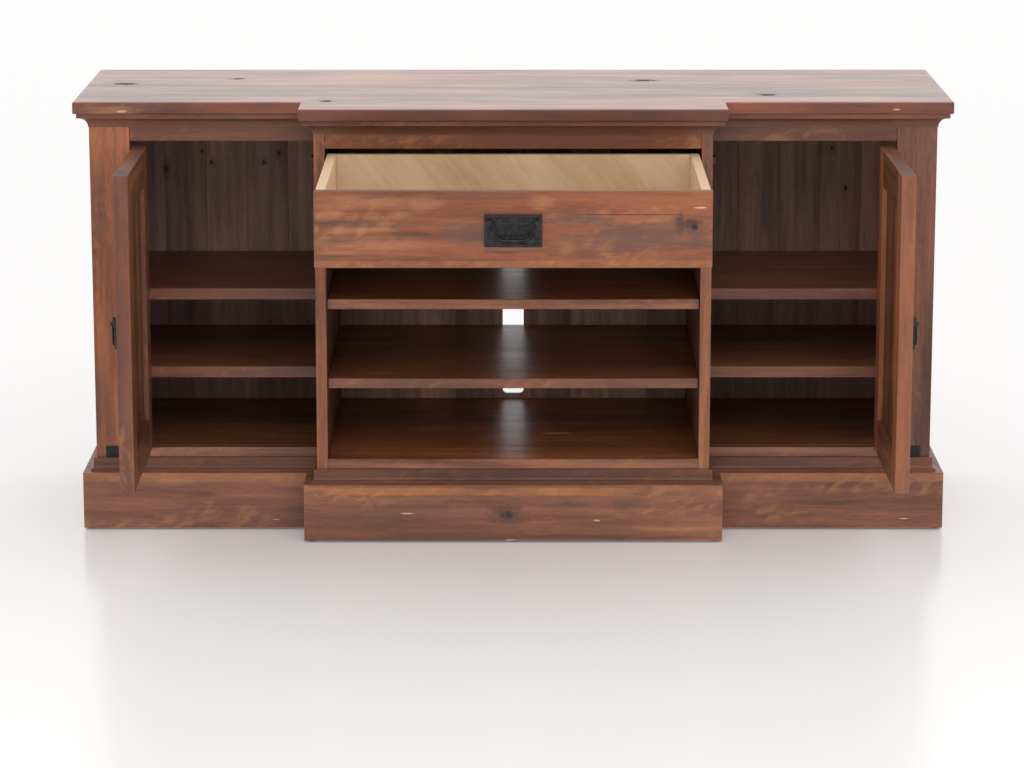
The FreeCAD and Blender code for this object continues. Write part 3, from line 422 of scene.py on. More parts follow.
def patches_and_flames(tree, colour, place, turned, grain, coarse, greyed, flamed, bands):
    """Bluish-brown patches, warm bands of sapwood, and flames where the grain curls."""
    patch = stretched(tree, grain, PATCH_MM, {"Detail": 2.0}, coarse)
    patch = add(tree, "MapRange", SOFT, {"Value": patch, "From Min": 0.50, "From Max": 0.70})
    colour = tint(tree, patch, greyed, colour, WEATHERED)
    leaning = add(tree, "Mapping", None, {"Vector": grain, "Rotation": (0.0, FLAME_LEAN, -FLAME_LEAN)})
    flame = stretched(tree, leaning, FLAME_MM, {"Detail": 2.0, "Distortion": 0.5})
    flame = add(tree, "MapRange", SOFT, {"Value": flame, "From Min": 0.44, "From Max": 0.72})
    curled = stretched(tree, turned, CURL_MM, {"Detail": 1.0})
    curled = add(tree, "MapRange", SOFT, {"Value": curled, "From Min": 0.46, "From Max": 0.66})
    for low, high, strength in bands:
        up = add(tree, "SeparateXYZ", None, {0: place}, out="Z")
        above = add(tree, "MapRange", SOFT, {"Value": up, "From Min": low, "From Max": low + BAND_RIM})
        below = add(tree, "MapRange", SOFT, {"Value": up, "From Min": high, "From Max": high - BAND_RIM})
        inside = add(tree, "Math", TIMES, {0: above, 1: below})
        come_and_go = stretched(tree, turned, SAPWOOD_MM, {"Detail": 2.0})
        come_and_go = add(tree, "MapRange", SOFT, {"Value": come_and_go, "From Min": 0.30, "From Max": 0.54})
        inside = add(tree, "Math", TIMES, {0: inside, 1: come_and_go})
        colour = tint(tree, inside, strength, colour, SAPWOOD)
        curled = add(tree, "Math", LARGER, {0: curled, 1: inside})
    flame = add(tree, "Math", TIMES, {0: flame, 1: curled})
    return tint(tree, flame, flamed, colour, FLAME)


print("flames lean", round(math.degrees(FLAME_LEAN)), "degrees")

# %% Age, marks, wear and painted light
OLD_BOARD, PORE_SHADE, HALO_SHADE, SEAM_SHADE = "3F3633", "3A2017", "4A2C20", "3A241B"
# the first shade here darkens the edges of planks as painted shade
# the last shade here lightens the edges: rubbed wear and a painted highlight
PAINTED_CUP_SHADE, END_GRAIN, RUBBED_AND_LIT_WOOD = "2E1B14", "402B24", "B08064"
WOOD_EDGE = 0.003


def marked(tree, colour, masks, halo, pore):
    """Dark pores, the shade round a knot, and the marks themselves."""
    pores = add(tree, "MapRange", SOFT, {"Value": pore, "From Min": 0.42, "From Max": 0.26})
    colour = tint(tree, pores, 0.28, colour, PORE_SHADE)
    colour = tint(tree, halo, 0.32, colour, HALO_SHADE)
    for kind, mask in masks.items():
        colour = tint(tree, mask, MARKS[kind][3], colour, MARKS[kind][0])
    return colour


def end_grain(tree, colour, along):
    """Cut across the grain, wood drinks the wax and goes darker."""
    facing = add(tree, "SeparateXYZ", None, {0: add(tree, "TexCoord", out="Normal")}, out=along)
    facing = add(tree, "Math", UNSIGNED, {0: facing})
    cut = add(tree, "MapRange", SOFT, {"Value": facing, "From Min": 0.6, "From Max": 0.9})
    return tint(tree, cut, 0.80, colour, END_GRAIN)


def on_edges(tree, radius, starts, full):
    """Edges, found by comparing the surface with its rounded self."""
    rounded = add(tree, "Bevel", {"samples": 4}, {"Radius": radius})
    plain = add(tree, "NewGeometry", out="Normal")
    flat = add(tree, "VectorMath", AGREEMENT, {0: rounded, 1: plain}, out="Value")
    return add(tree, "MapRange", SOFT, {"Value": flat, "From Min": starts, "From Max": full})


print("edges rubbed over", WOOD_EDGE * 1000, "mm")

# %% Wax and relief
WAX_GRIP = 0.45
COAT_ROUGHNESS = 0.16
RELIEF_MM = 0.6
MARK_DEPTHS = (("crack", -1.5), ("knot", -0.6), ("chip", -1.0))
SEAM_DEPTH = -2.0


def waxed(tree, shader, masks, streak, wax, coat):
    """Gloss from the wax. Knots hold none, so they stay dark where the rest of a top goes pale."""
    gloss = add(tree, "MapRange", None, {"Value": streak, "From Min": 0.3, "From Max": 0.7,
                                         "To Min": wax + 0.06, "To Max": wax - 0.04})
    gloss = add(tree, "Math", TIMES_PLUS, {0: masks["knot"], 1: WAX_GRIP, 2: gloss})
    tree.links.new(gloss, shader.inputs["Roughness"])
    if coat:
        polished = add(tree, "Math", TIMES_PLUS, {0: masks["knot"], 1: -coat, 2: coat})
        tree.links.new(polished, shader.inputs["Coat Weight"])
        shader.inputs["Coat Roughness"].default_value = COAT_ROUGHNESS


def relief(tree, shader, masks, streak, pore, seam, rough):
    """Pores and streaks stand a little, and cracks, knots, chips and seams lie deeper."""
    height = add(tree, "Math", TIMES_PLUS, {0: pore, 1: 0.5, 2: streak})
    for kind, depth in MARK_DEPTHS:
        height = add(tree, "Math", TIMES_PLUS, {0: masks[kind], 1: depth, 2: height})
    if seam:
        height = add(tree, "Math", TIMES_PLUS, {0: seam, 1: SEAM_DEPTH, 2: height})
    bump = add(tree, "Bump", None, {"Strength": rough, "Distance": RELIEF_MM / 1000, "Height": height})
    tree.links.new(bump, shader.inputs["Normal"])


print("relief", RELIEF_MM, "mm")

# %% One kind of board
BOARD_JUMP = 9.0
KNOT_BEND = (0.0, 0.02, 0.02)


def peroba(name, along, middle, seed, spread=1.0, coarse=1.0, lip=None, lip_spread=1.2, boards=None, marks=(),
           bands=(), greyed=0.3, flamed=0.5, varied=0.0, seams=0.0, cup_shading=0.0, wax=0.42, coat=0.0, rough=0.4,
           mitred=False):
    """Waxed reclaimed hardwood with its grain along one axis.

    middle is its middle shade, and lip the middle shade of the faces that look forward. coarse widens the
    figure. boards is (axis, start, width) where a node is made of boards side by side, and varied says how
    much they differ. bands are (low, high, strength) of warm sapwood, in heights. wax is the roughness that
    it leaves.
    """
    material, tree, shader, place = finish_named(name)
    turned = grain_place(tree, place, along, mitred, seed)
    if boards:
        own_colour, own_tone, from_middle = board_draw(tree, place, boards, seed)
        shift = add(tree, "VectorMath", SCALED, {0: own_colour, "Scale": BOARD_JUMP})
        turned = add(tree, "VectorMath", PLUS, {0: turned, 1: shift})
    warped = wandering(tree, turned)
    masks, halo = mark_masks(tree, place, turned, warped, along, marks)
    bent = add(tree, "VectorMath", SCALED, {0: KNOT_BEND, "Scale": halo})
    grain = add(tree, "VectorMath", PLUS, {0: warped, 1: bent})

    tone, streak, pore = grain_tone(tree, grain, coarse)
    if boards:
        tone = add(tree, "Math", TIMES_PLUS, {0: own_tone, 1: BOARD_SHARE * varied, 2: tone})
        tone = add(tree, "Math", MINUS, {0: tone, 1: BOARD_SHARE / 2 * varied})
    tone = add(tree, "Math", MINUS, {0: tone, 1: PORE_SHARE / 2})
    colour = add(tree, "ValToRGB", None, {"Fac": tone}, stops=shades(middle, spread))
    if lip:
        edge = add(tree, "ValToRGB", None, {"Fac": tone}, stops=shades(lip, spread * lip_spread))
        facing = add(tree, "SeparateXYZ", None, {0: add(tree, "TexCoord", out="Normal")}, out="Y")
        forward = add(tree, "MapRange", SOFT, {"Value": facing, "From Min": -0.35, "From Max": -0.75})
        colour = add(tree, "Mix", COLOURS, {0: forward, 6: colour, 7: edge}, out=2)

    colour = patches_and_flames(tree, colour, place, turned, grain, coarse, greyed, flamed, bands)
    if varied:
        aged = add(tree, "SeparateColor", None, {0: own_colour}, out=1)
        colour = tint(tree, aged, 0.55 * varied, colour, OLD_BOARD)
    colour = marked(tree, colour, masks, halo, pore)
    seam = None
    if seams:
        rim = {"Value": from_middle, "From Min": 1.0 - seams, "From Max": 1.0 - seams / 3}
        seam = add(tree, "MapRange", SOFT, rim)
        colour = tint(tree, seam, 0.5, colour, SEAM_SHADE)
    # painted shade: each plank is darker towards its edges, as a cupped board would be shaded there
    if cup_shading:
        cup_shade = add(tree, "Math", {"operation": "POWER"}, {0: from_middle, 1: 2.0})
        colour = tint(tree, cup_shade, cup_shading, colour, PAINTED_CUP_SHADE)
    if not mitred:
        colour = end_grain(tree, colour, along)
    # painted highlight and wear: edges are painted lighter, as eased edges catch the light and hands rub them
    rubbed_and_lit = add(tree, "Math", TIMES, {0: on_edges(tree, WOOD_EDGE, 0.985, 0.80), 1: streak})
    colour = tint(tree, rubbed_and_lit, 0.45, colour, RUBBED_AND_LIT_WOOD)
    tree.links.new(colour, shader.inputs["Base Color"])
    waxed(tree, shader, masks, streak, wax, coat)
    relief(tree, shader, masks, streak, pore, seam, rough)
    return material


def dress(names, material):
    """Give CAD nodes their finish in place of the plain colour they were packed with."""
    for name in names:
        for material_slot in nodes[name].material_slots:
            material_slot.material = material


print("directions of grain:", ", ".join(TURN_TO_GRAIN))

# %% [markdown]
# ## Which board is cut from which timber
# A maker lays the boards out so that the grain runs the long way of each one. Here each node gets its own
# cut: a direction, a middle shade and a seed that moves it to another place in the log. The places of the
# marks are metres in the cabinet's own frame, so each one stays on its board from every side.

# %% Lay the timber on the top
# the top is seen at a flat angle, so its figure is drawn coarser, or it would not show
TOP_Z, SLAB_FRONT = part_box("top_panel")[1][2], -0.507
TOP_BOARDS = ("Y", -0.610, 0.186)
TOP_MARKS = [("knot", (x, y, TOP_Z), length, across) for x, y, length, across in (
    (-0.836, -0.231, 0.085, 0.055), (-0.390, -0.490, 0.055, 0.045), (0.285, -0.176, 0.100, 0.055),
    (0.532, -0.397, 0.070, 0.05), (-0.600, -0.150, 0.05, 0.04))]
TOP_MARKS += [("stain", (x, y, TOP_Z), length, 0.080) for x, y, length in (
    (-0.497, -0.098, 0.16), (0.439, -0.098, 0.12), (0.624, -0.066, 0.14), (0.771, -0.102, 0.22),
    (0.846, -0.418, 0.12), (0.60, -0.392, 0.2), (-0.80, -0.42, 0.16), (0.10, -0.30, 0.2))]
TOP_MARKS += [
    ("chip", (-0.812, SLAB_FRONT, 0.899), 0.026, 0.006), ("chip", (0.795, SLAB_FRONT, 0.903), 0.02, 0.004),
    ("crack", (-0.80, -0.238, TOP_Z), 0.20, 0.016), ("glow", (-0.82, SLAB_FRONT, 0.902), 0.13, 0.030),
    ("streak", (-0.505, SLAB_FRONT + 0.012, TOP_Z), 0.13, 0.018)]
dress(["top_panel"],
      peroba("peroba_top", "X", "B6775D", 1.0, coarse=2.6, lip="974623", boards=TOP_BOARDS, marks=TOP_MARKS,
             greyed=0.25, flamed=0.15, varied=0.6, seams=0.03, wax=0.30, coat=0.35, rough=0.15))
print("marks on the top:", len(TOP_MARKS))

# %% Lay the timber on the drawer front
DRAWER_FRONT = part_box("drawer_front")[0][1]
DRAWER_BANDS = ((0.671, 0.687, 0.30),)
DRAWER_MARKS = [(kind, (x, DRAWER_FRONT, z), length, width) for kind, x, z, length, width in (
    ("bark", 0.322, 0.758, 0.022, 0.036), ("bark", 0.341, 0.759, 0.040, 0.022),
    ("knot", 0.352, 0.750, 0.024, 0.024), ("stain", 0.352, 0.722, 0.045, 0.030),
    ("stain", 0.326, 0.719, 0.040, 0.014), ("streak", -0.335, 0.7605, 0.160, 0.016),
    ("streak", -0.200, 0.737, 0.080, 0.012), ("streak", -0.345, 0.694, 0.120, 0.012),
    ("streak", -0.018, 0.702, 0.080, 0.006), ("crack", 0.220, 0.776, 0.340, 0.003),
    ("chip", 0.361, 0.790, 0.030, 0.0045), ("stain", 0.130, 0.768, 0.14, 0.022),
    ("glow", -0.355, 0.776, 0.060, 0.020), ("glow", 0.058, 0.800, 0.04, 0.028),
    ("glow", -0.18, 0.798, 0.07, 0.030), ("glow", -0.34, 0.703, 0.11, 0.016),
    ("glow", -0.22, 0.776, 0.05, 0.016), ("glow", -0.31, 0.745, 0.12, 0.016),
    ("glow", -0.28, 0.800, 0.20, 0.030), ("glow", -0.25, 0.715, 0.25, 0.030),
    ("stain", -0.07, 0.735, 0.14, 0.05), ("stain", 0.25, 0.735, 0.30, 0.07))]
# painted highlight: a light strip in the wood along the plate's lower edge, as a lip there would catch the
# light
plate_low, plate_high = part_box("handle_plate")
plate_middle = (plate_low[0] + plate_high[0]) / 2
DRAWER_MARKS.append(("painted_highlight", (plate_middle, DRAWER_FRONT, plate_low[2] - 0.001), 0.125, 0.010))
dress(["drawer_front"],
      peroba("peroba_drawer_front", "X", "975635", 2.0, 0.85, marks=DRAWER_MARKS, bands=DRAWER_BANDS,
             greyed=0.35, flamed=0.38, wax=0.45))
print("marks on the drawer front:", len(DRAWER_MARKS))

# %% Lay the timber on the plinth
PLACES = ("left", "centre", "right")
PLINTH_FRONTS = {"left": -0.504, "centre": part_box("plinth_centre")[0][1], "right": -0.504}
PLINTH_SHADES = {"left": "99634C", "centre": "9F674D", "right": "A46A50"}
PLINTH_BANDS = {"left": (0.104, 0.125, 0.5), "centre": (0.101, 0.122, 0.8), "right": (0.104, 0.125, 0.45)}
PLINTH_MARKS = {
    "left": (("glow", -0.723, 0.108, 0.06, 0.018), ("chip", -0.504, 0.023, 0.018, 0.003),
             ("streak", -0.654, 0.080, 0.07, 0.016)),
    "centre": (("knot", -0.012, 0.061, 0.044, 0.026), ("stain", -0.012, 0.061, 0.05, 0.03),
               ("chip", -0.222, 0.064, 0.032, 0.0045), ("chip", 0.175, 0.049, 0.018, 0.005),
               ("chip", -0.005, 0.0065, 0.03, 0.004), ("glow", 0.35, 0.031, 0.19, 0.009),
               ("stain", 0.12, 0.083, 0.12, 0.02), ("stain", 0.24, 0.083, 0.10, 0.02),
               ("streak", 0.2, 0.013, 0.5, 0.012)),
    "right": (("chip", 0.830, 0.025, 0.024, 0.0035), ("streak", 0.66, 0.06, 0.16, 0.012)),
}
for seed, where in enumerate(PLACES):
    front = PLINTH_FRONTS[where]
    marks = [(kind, (x, front, z), length, width) for kind, x, z, length, width in PLINTH_MARKS[where]]
    dress(["plinth_" + where],
          peroba("peroba_plinth_" + where, "X", PLINTH_SHADES[where], seed + 3.0, 0.85, marks=marks,
                 bands=(PLINTH_BANDS[where],), greyed=0.35, flamed=0.45, mitred=True))
print("marks on the plinth:", sum(len(rows) for rows in PLINTH_MARKS.values()))

# %% Lay the timber on the mouldings and the frieze
CAP_SHADES = {"left": "89543E", "centre": "7E4C37", "right": "855039"}
CORNICE_SHADES = {"left": "824F37", "centre": "764938", "right": "824F37"}
FRIEZE_SHADES = {"left": "794935", "centre": "884C2C", "right": "794A36"}
for seed, where in enumerate(PLACES):
    dress(["base_cap_" + where],
          peroba("peroba_cap_" + where, "X", CAP_SHADES[where], seed + 9.0, 0.85, flamed=0.12,
                 mitred=True))
    dress(["cornice_" + where],
          peroba("peroba_cornice_" + where, "X", CORNICE_SHADES[where], seed + 6.0, 0.7, flamed=0.2,
                 mitred=True))
    dress(["frieze_rail_" + where],
          peroba("peroba_frieze_" + where, "X", FRIEZE_SHADES[where], seed + 14.0, 0.7, flamed=0.3))
dress(["base_rails"], peroba("peroba_base_rails", "X", "6B4434", 12.0, 0.7, flamed=0.12, mitred=True))
print("mouldings:", 2 * len(PLACES), "frieze rails:", len(PLACES))

# %% Lay the timber on the uprights
UPRIGHT_SHADES = {"pilaster_left": "C7794D", "pilaster_right": "915E45", "end_panel_left": "8F5638",
                  "end_panel_right": "8A543A", "partition_left": "7C4A33", "partition_right": "7C4B34"}
UPRIGHT_LIPS = {"partition_left": "A36343", "partition_right": "AC6E4A"}
for seed, (name, shade) in enumerate(UPRIGHT_SHADES.items()):
    dress([name],
          peroba("peroba_" + name, "Z", shade, seed + 18.0, 1.1, lip=UPRIGHT_LIPS.get(name), greyed=0.45,
                 flamed=0.4))
print("uprights:", len(UPRIGHT_SHADES))

# %% Lay the timber on the doors
STILE_SHADES = {"left": "865039", "right": "A16040"}
RAIL_SHADES = {"left": "6F442E", "right": "754731"}
PANEL_SHADES = {"left": "815235", "right": "895539"}
PANEL_BOARDS = ("Y", -0.876, 0.103)
PANEL_MARKS = {"left": [("knot", (-0.775, -0.640, 0.268), 0.075, 0.050),
                        ("knot", (-0.775, -0.700, 0.252), 0.060, 0.045)],
               "right": [("knot", (0.775, -0.735, 0.300), 0.070, 0.050)]}
for seed, hand in enumerate(("left", "right")):
    dress([hand + "_door_stiles"],
          peroba("peroba_%s_stiles" % hand, "Z", STILE_SHADES[hand], seed + 25.0, 0.8, flamed=0.35))
    dress([hand + "_door_rails"],
          peroba("peroba_%s_rails" % hand, "Y", RAIL_SHADES[hand], seed + 28.0, 0.8, flamed=0.3))
    dress([hand + "_door_panel"],
          peroba("peroba_%s_panel" % hand, "Z", PANEL_SHADES[hand], seed + 31.0, 0.7, boards=PANEL_BOARDS,
                 marks=PANEL_MARKS[hand], flamed=0.25, varied=0.2, seams=0.06, cup_shading=0.6))
print("planks", round(PANEL_BOARDS[2] * 1000), "mm wide in the door panels")

# %% Lay the timber on the shelves and bottoms
# middle shades of the lower shelf, the upper shelf and the bottom of each bay
SHELF_SHADES = {"left": ("865338", "6F3B23", "855335"), "centre": ("996140", "995F3C", "A0603A"),
                "right": ("885539", "79492F", "875436")}
# middle shades of the lower and upper shelf fronts; the centre upper front is painted lighter, as painted
# light in the shade that the drawer above casts on it
FRONT_SHADES_AND_LIGHT = {"left": ("7C4B37", "814D37"), "centre": ("925E45", "B67757"), "right": ("7D4C37", "834F37")}
BOTTOM_FRONTS = {"left": "9F684E", "centre": "A66A4F", "right": "9F684D"}
BOTTOM_MARKS = {"centre": [("chip", (0.093, -0.352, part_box("bottom_panel_centre")[1][2]), 0.08, 0.018)]}
SHEEN = {"left": 0.34, "centre": 0.35, "right": 0.34}
for seed, where in enumerate(PLACES):
    for level, name in enumerate(("lower", "upper")):
        shelf = "shelf_%s_%s" % (where, name)
        dress([shelf],
              peroba("peroba_" + shelf, "X", SHELF_SHADES[where][level], 35.0 + seed + 7 * level, 0.8,
                     lip=FRONT_SHADES_AND_LIGHT[where][level], greyed=0.15, flamed=0.3, wax=SHEEN[where], rough=0.2))
    dress(["bottom_panel_" + where],
          peroba("peroba_bottom_" + where, "X", SHELF_SHADES[where][2], 45.0 + seed, 0.9,
                 lip=BOTTOM_FRONTS[where], marks=BOTTOM_MARKS.get(where, ()), greyed=0.15, flamed=0.3,
                 wax=SHEEN[where], rough=0.2))
dress(["drawer_divider"], peroba("peroba_divider", "X", "7A4B30", 49.0, 0.7, lip="7A4B38"))
print("shelves and bottoms:", 3 * len(PLACES))

# %% Lay the timber on the back
# where each bay's back starts, how wide its boards are, and how many it has
BACK_BOARDS = {"left": (-0.865, 0.454 / 5, 5), "centre": (-0.388, 0.776 / 9, 9),
               "right": (0.411, 0.454 / 5, 5)}
BACK_OUTSIDE = "705345"
# painted light: the faces of the back that look into the bays are painted much lighter than its outside, most
# in the centre bay, to stand in for the light that falls into them
BACK_LIT_FACES = {"left": "AE8777", "centre": "DDA98D", "right": "C7947C"}
BACK_INSIDE = -0.016
BACK_MARKS = {
    "left": ((-0.772, 0.697, 0.030), (-0.672, 0.713, 0.014), (-0.554, 0.713, 0.014), (-0.522, 0.733, 0.014),
             (-0.691, 0.738, 0.012)),
    "centre": (),
    "right": ((0.708, 0.745, 0.016), (0.741, 0.654, 0.016)),
}
for seed, where in enumerate(PLACES):
    knots = [("knot", (x, BACK_INSIDE, z), length, 0.012) for x, z, length in BACK_MARKS[where]]
    back = peroba("peroba_back_" + where, "Z", BACK_OUTSIDE, 41.0 + seed, 0.9, lip=BACK_LIT_FACES[where],
                  lip_spread=1.0, boards=("X", *BACK_BOARDS[where][:2]), marks=knots, greyed=0.4, flamed=0.15,
                  varied=1.0, wax=0.5)
    dress(["back_panel_" + where] + (["cable_board"] if where == "centre" else []), back)
print("timber finishes:", sum(1 for m in bpy.data.materials if m.name.startswith("peroba")))

# %% [markdown]
# ## The drawer box: pale maple sides, plywood back and bottom
# A drawer is made of pale wood that doesn't stain what lies in it. The sides are planed maple, even and
# almost without figure. The back and the bottom are rotary-cut plywood, whose peeled face shows wide,
# slanting waves.

# %% Finish the drawer box
DRAWER_WOOD_RELIEF = 0.0003
PLY_SLANT = (0.0, math.radians(38), math.radians(20))
# how many features fit in a metre, so 200 mm by 4 mm for the streaks of maple
MAPLE_STREAKS, MAPLE_CLOUDS = (5.0, 260.0, 260.0), (2.0, 30.0, 30.0)
PLY_WAVES, PLY_LINES = (9.0, 3.0, 3.0), (120.0, 8.0, 8.0)
MAPLE_SHADES = ((0.32, "E3BF98"), (0.5, "EFCFA9"), (0.68, "F6DDBC"))
PLY_SHADES = ((0.34, "B99A74"), (0.5, "C9AD89"), (0.66, "D6BD9B"))


def surfaced(tree, shader, colour, roughness, height, strength, depth, metallic=0.0):
    """Give a shader its colour, roughness and relief. An even roughness is set on the shader's own socket."""
    tree.links.new(colour, shader.inputs["Base Color"])
    shader.inputs["Metallic"].default_value = metallic
    if isinstance(roughness, float):
        shader.inputs["Roughness"].default_value = roughness
    else:
        tree.links.new(roughness, shader.inputs["Roughness"])
    bump = add(tree, "Bump", None, {"Strength": strength, "Distance": depth, "Height": height})
    tree.links.new(bump, shader.inputs["Normal"])


def maple(name, along):
    """Planed maple under thin lacquer: creamy, with faint narrow streaks."""
    material, tree, shader, place = finish_named(name)
    turned = add(tree, "Mapping", None, {"Vector": place, "Rotation": TURN_TO_GRAIN[along]})
    fine = add(tree, "VectorMath", TIMES, {0: turned, 1: MAPLE_STREAKS})
    fine = add(tree, "TexNoise", None, {"Vector": fine, "Scale": 1.0, "Detail": 3.0})
    slow = add(tree, "VectorMath", TIMES, {0: turned, 1: MAPLE_CLOUDS})
    slow = add(tree, "TexNoise", None, {"Vector": slow, "Scale": 1.0, "Detail": 2.0})
    tone = add(tree, "Math", TIMES, {0: fine, 1: 0.4})
    tone = add(tree, "Math", TIMES_PLUS, {0: slow, 1: 0.6, 2: tone})
    colour = add(tree, "ValToRGB", None, {"Fac": tone}, stops=MAPLE_SHADES)
    surfaced(tree, shader, colour, 0.42, fine, 0.3, DRAWER_WOOD_RELIEF)
    return material


def peeled_ply(name):
    """Rotary-cut plywood: wide slanting waves across its face."""
    material, tree, shader, place = finish_named(name)
    slanted = add(tree, "Mapping", None, {"Vector": place, "Rotation": PLY_SLANT})
    broad = add(tree, "VectorMath", TIMES, {0: slanted, 1: PLY_WAVES})
    broad = add(tree, "TexNoise", None, {"Vector": broad, "Scale": 1.0, "Detail": 3.0, "Distortion": 0.8})
    lines = add(tree, "VectorMath", TIMES, {0: slanted, 1: PLY_LINES})
    lines = add(tree, "TexNoise", None, {"Vector": lines, "Scale": 1.0, "Detail": 3.0})
    tone = add(tree, "Math", TIMES, {0: lines, 1: 0.25})
    tone = add(tree, "Math", TIMES_PLUS, {0: broad, 1: 0.75, 2: tone})
    colour = add(tree, "ValToRGB", None, {"Fac": tone}, stops=PLY_SHADES)
    surfaced(tree, shader, colour, 0.5, lines, 0.25, DRAWER_WOOD_RELIEF)
    return material


dress(["drawer_sides"], maple("planed_maple", "Y"))
dress(["drawer_back", "drawer_bottom"], peeled_ply("peeled_plywood"))
print("maple streaks", 1000 / MAPLE_STREAKS[0], "mm long, plywood waves", round(1000 / PLY_WAVES[1]), "mm")

# %% [markdown]
# ## Iron, steel and plastic
# The pulls and foot plates are forged iron, blackened in hot oil: almost black, with a faint cool blue
# where the scale is thick and grey where fingers rub the raised parts. Runners and pins are bright
# zinc-plated steel. Glides and catches are moulded plastic.

# %% Black iron
IRON_EDGE = 0.0012
IRON_SHADES, RUBBED_IRON = ((0.3, "2D2D2D"), (0.55, "3A3A3B"), (0.75, "4B4C4B")), "7A7872"
SCALE_MM, PIT_MM = 7, 2.2


def blackened_iron(name):
    """Oil-blackened iron: dark scale, slightly uneven, rubbed grey on the edges."""
    material, tree, shader, place = finish_named(name)
    scale = add(tree, "TexNoise", None, {"Vector": place, "Scale": per_metre(SCALE_MM), "Detail": 4.0})
    colour = add(tree, "ValToRGB", None, {"Fac": scale}, stops=IRON_SHADES)
    colour = tint(tree, on_edges(tree, IRON_EDGE, 0.98, 0.8), 0.6, colour, RUBBED_IRON)
    gloss = add(tree, "MapRange", None, {"Value": scale, "To Min": 0.40, "To Max": 0.60})
    pits = add(tree, "TexNoise", None, {"Vector": place, "Scale": per_metre(PIT_MM), "Detail": 3.0})
    surfaced(tree, shader, colour, gloss, pits, 0.5, 0.0003, metallic=1.0)
    return material


iron = blackened_iron("blackened_iron")
dress(["handle_plate", "handle_bail", "left_pull_plate", "left_pull_bail", "right_pull_plate",
       "right_pull_bail", "foot_plates"], iron)
print("iron rubbed over", IRON_EDGE * 1000, "mm")

# %% Plated and browned steel, and plastic
# real drawing lines and mould grit are about a tenth of this, which would not show
DRAWN_MM, GRIT_MM = 1.5, 0.8


def plated_steel(name, dull, bright):
    """Zinc-plated sheet steel: satin, with a faint drawn line along its length."""
    material, tree, shader, place = finish_named(name)
    drawn = add(tree, "VectorMath", TIMES, {0: place, 1: (per_metre(DRAWN_MM), 6.0, per_metre(DRAWN_MM))})
    drawn = add(tree, "TexNoise", None, {"Vector": drawn, "Scale": 1.0, "Detail": 3.0})
    colour = add(tree, "ValToRGB", None, {"Fac": drawn}, stops=((0.3, dull), (0.7, bright)))
    gloss = add(tree, "MapRange", None, {"Value": drawn, "To Min": 0.28, "To Max": 0.42})
    surfaced(tree, shader, colour, gloss, drawn, 0.15, 0.0002, metallic=1.0)
    return material


def moulded_plastic(name, dark, light):
    """Injection-moulded ABS with a fine spark-eroded texture."""
    material, tree, shader, place = finish_named(name)
    grit = add(tree, "TexNoise", None, {"Vector": place, "Scale": per_metre(GRIT_MM), "Detail": 2.0})
    colour = add(tree, "ValToRGB", None, {"Fac": grit}, stops=((0.3, dark), (0.7, light)))
    surfaced(tree, shader, colour, 0.5, grit, 0.2, 0.0002)
    return material


dark_steel = plated_steel("browned_steel", "3A332E", "544A42")
dress(["runner_fixed", "runner_middle", "runner_drawer", "shelf_pins"],
      plated_steel("zinc_plated_steel", "A9ABA8", "C4C5C2"))
dress(["hinge_frame_leaves", "left_door_hinge_leaves", "right_door_hinge_leaves"], dark_steel)
dress(["floor_glides"], moulded_plastic("dark_moulded_plastic", "1E1A18", "2A2522"))
dress(["door_catches"], moulded_plastic("brown_moulded_plastic", "4A2F22", "5A3B2B"))
print("finishes in all:", len(bpy.data.materials))

# %% [markdown]
# ## Nails, pins and screws
# Small heads tell the eye how a thing is held together. The back boards are nailed, two nails to a board at
# each shelf and rail; the iron plates sit on round-headed pins; and each hinge leaf has slotted screws,
# sunk until they nearly lie flush, or the door would not close. A head is turned from a short profile, and a
# screw's slot is a real recess between two halves of its head. Many heads share one mesh, as they would
# come out of one box.

# %% Turn a nail head
from mathutils import Matrix, Vector

ROUND_STEPS = 16
DOME_PROFILE = ((1.0, 0.0), (1.0, 0.25), (0.86, 0.62), (0.5, 0.92))


def nail_head(radius, height):
    """A low dome on a round foot, as points and faces about +Z."""
    points, faces = [], []
    for share, up in DOME_PROFILE:
        for step in range(ROUND_STEPS):
            turn = 2 * math.pi * step / ROUND_STEPS
            points.append((radius * share * math.cos(turn), radius * share * math.sin(turn), height * up))
    for ring in range(len(DOME_PROFILE) - 1):
        for step in range(ROUND_STEPS):
            a, b = ring * ROUND_STEPS + step, ring * ROUND_STEPS + (step + 1) % ROUND_STEPS
            faces.append((a, b, b + ROUND_STEPS, a + ROUND_STEPS))
    first = (len(DOME_PROFILE) - 1) * ROUND_STEPS
    points.append((0.0, 0.0, height))
    tip = len(points) - 1
    faces += [(first + step, first + (step + 1) % ROUND_STEPS, tip) for step in range(ROUND_STEPS)]
    return points, faces


print("points in a nail head:", len(nail_head(1, 1)[0]))

# %% Cut a screw head


def slotted_head(radius, height, slot, depth):
    """A screw head in two halves with a slot between them, as points and faces about +Z."""
    points, faces = [], []
    count = ROUND_STEPS // 2 + 1
    for side in (1, -1):
        first = len(points)
        for ring, up in ((radius, 0.0), (radius, height * 0.6), (radius * 0.9, height)):
            low = math.asin(slot / 2 / ring)
            for step in range(count):
                turn = low + (math.pi - 2 * low) * step / (count - 1)
                points.append((side * ring * math.cos(turn), side * ring * math.sin(turn), up))
        for ring in range(2):
            for step in range(count - 1):
                a = first + ring * count + step
                faces.append((a, a + 1, a + 1 + count, a + count))
        top = first + 2 * count
        faces.append(tuple(range(top, top + count)))
        wall = len(points)
        points += [(x, y, height - depth) for x, y, _ in (points[top], points[top + count - 1])]
        faces.append((top, top + count - 1, wall + 1, wall))
    reach = math.sqrt(radius ** 2 - slot ** 2 / 4)
    bed = len(points)
    points += [(x * reach, y * slot / 2, height - depth) for x, y in ((-1, -1), (1, -1), (1, 1), (-1, 1))]
    faces.append(tuple(range(bed, bed + 4)))
    return points, faces


print("points in a screw head:", len(slotted_head(1, 1, 0.2, 0.2)[0]))

# %% Drive many heads at once


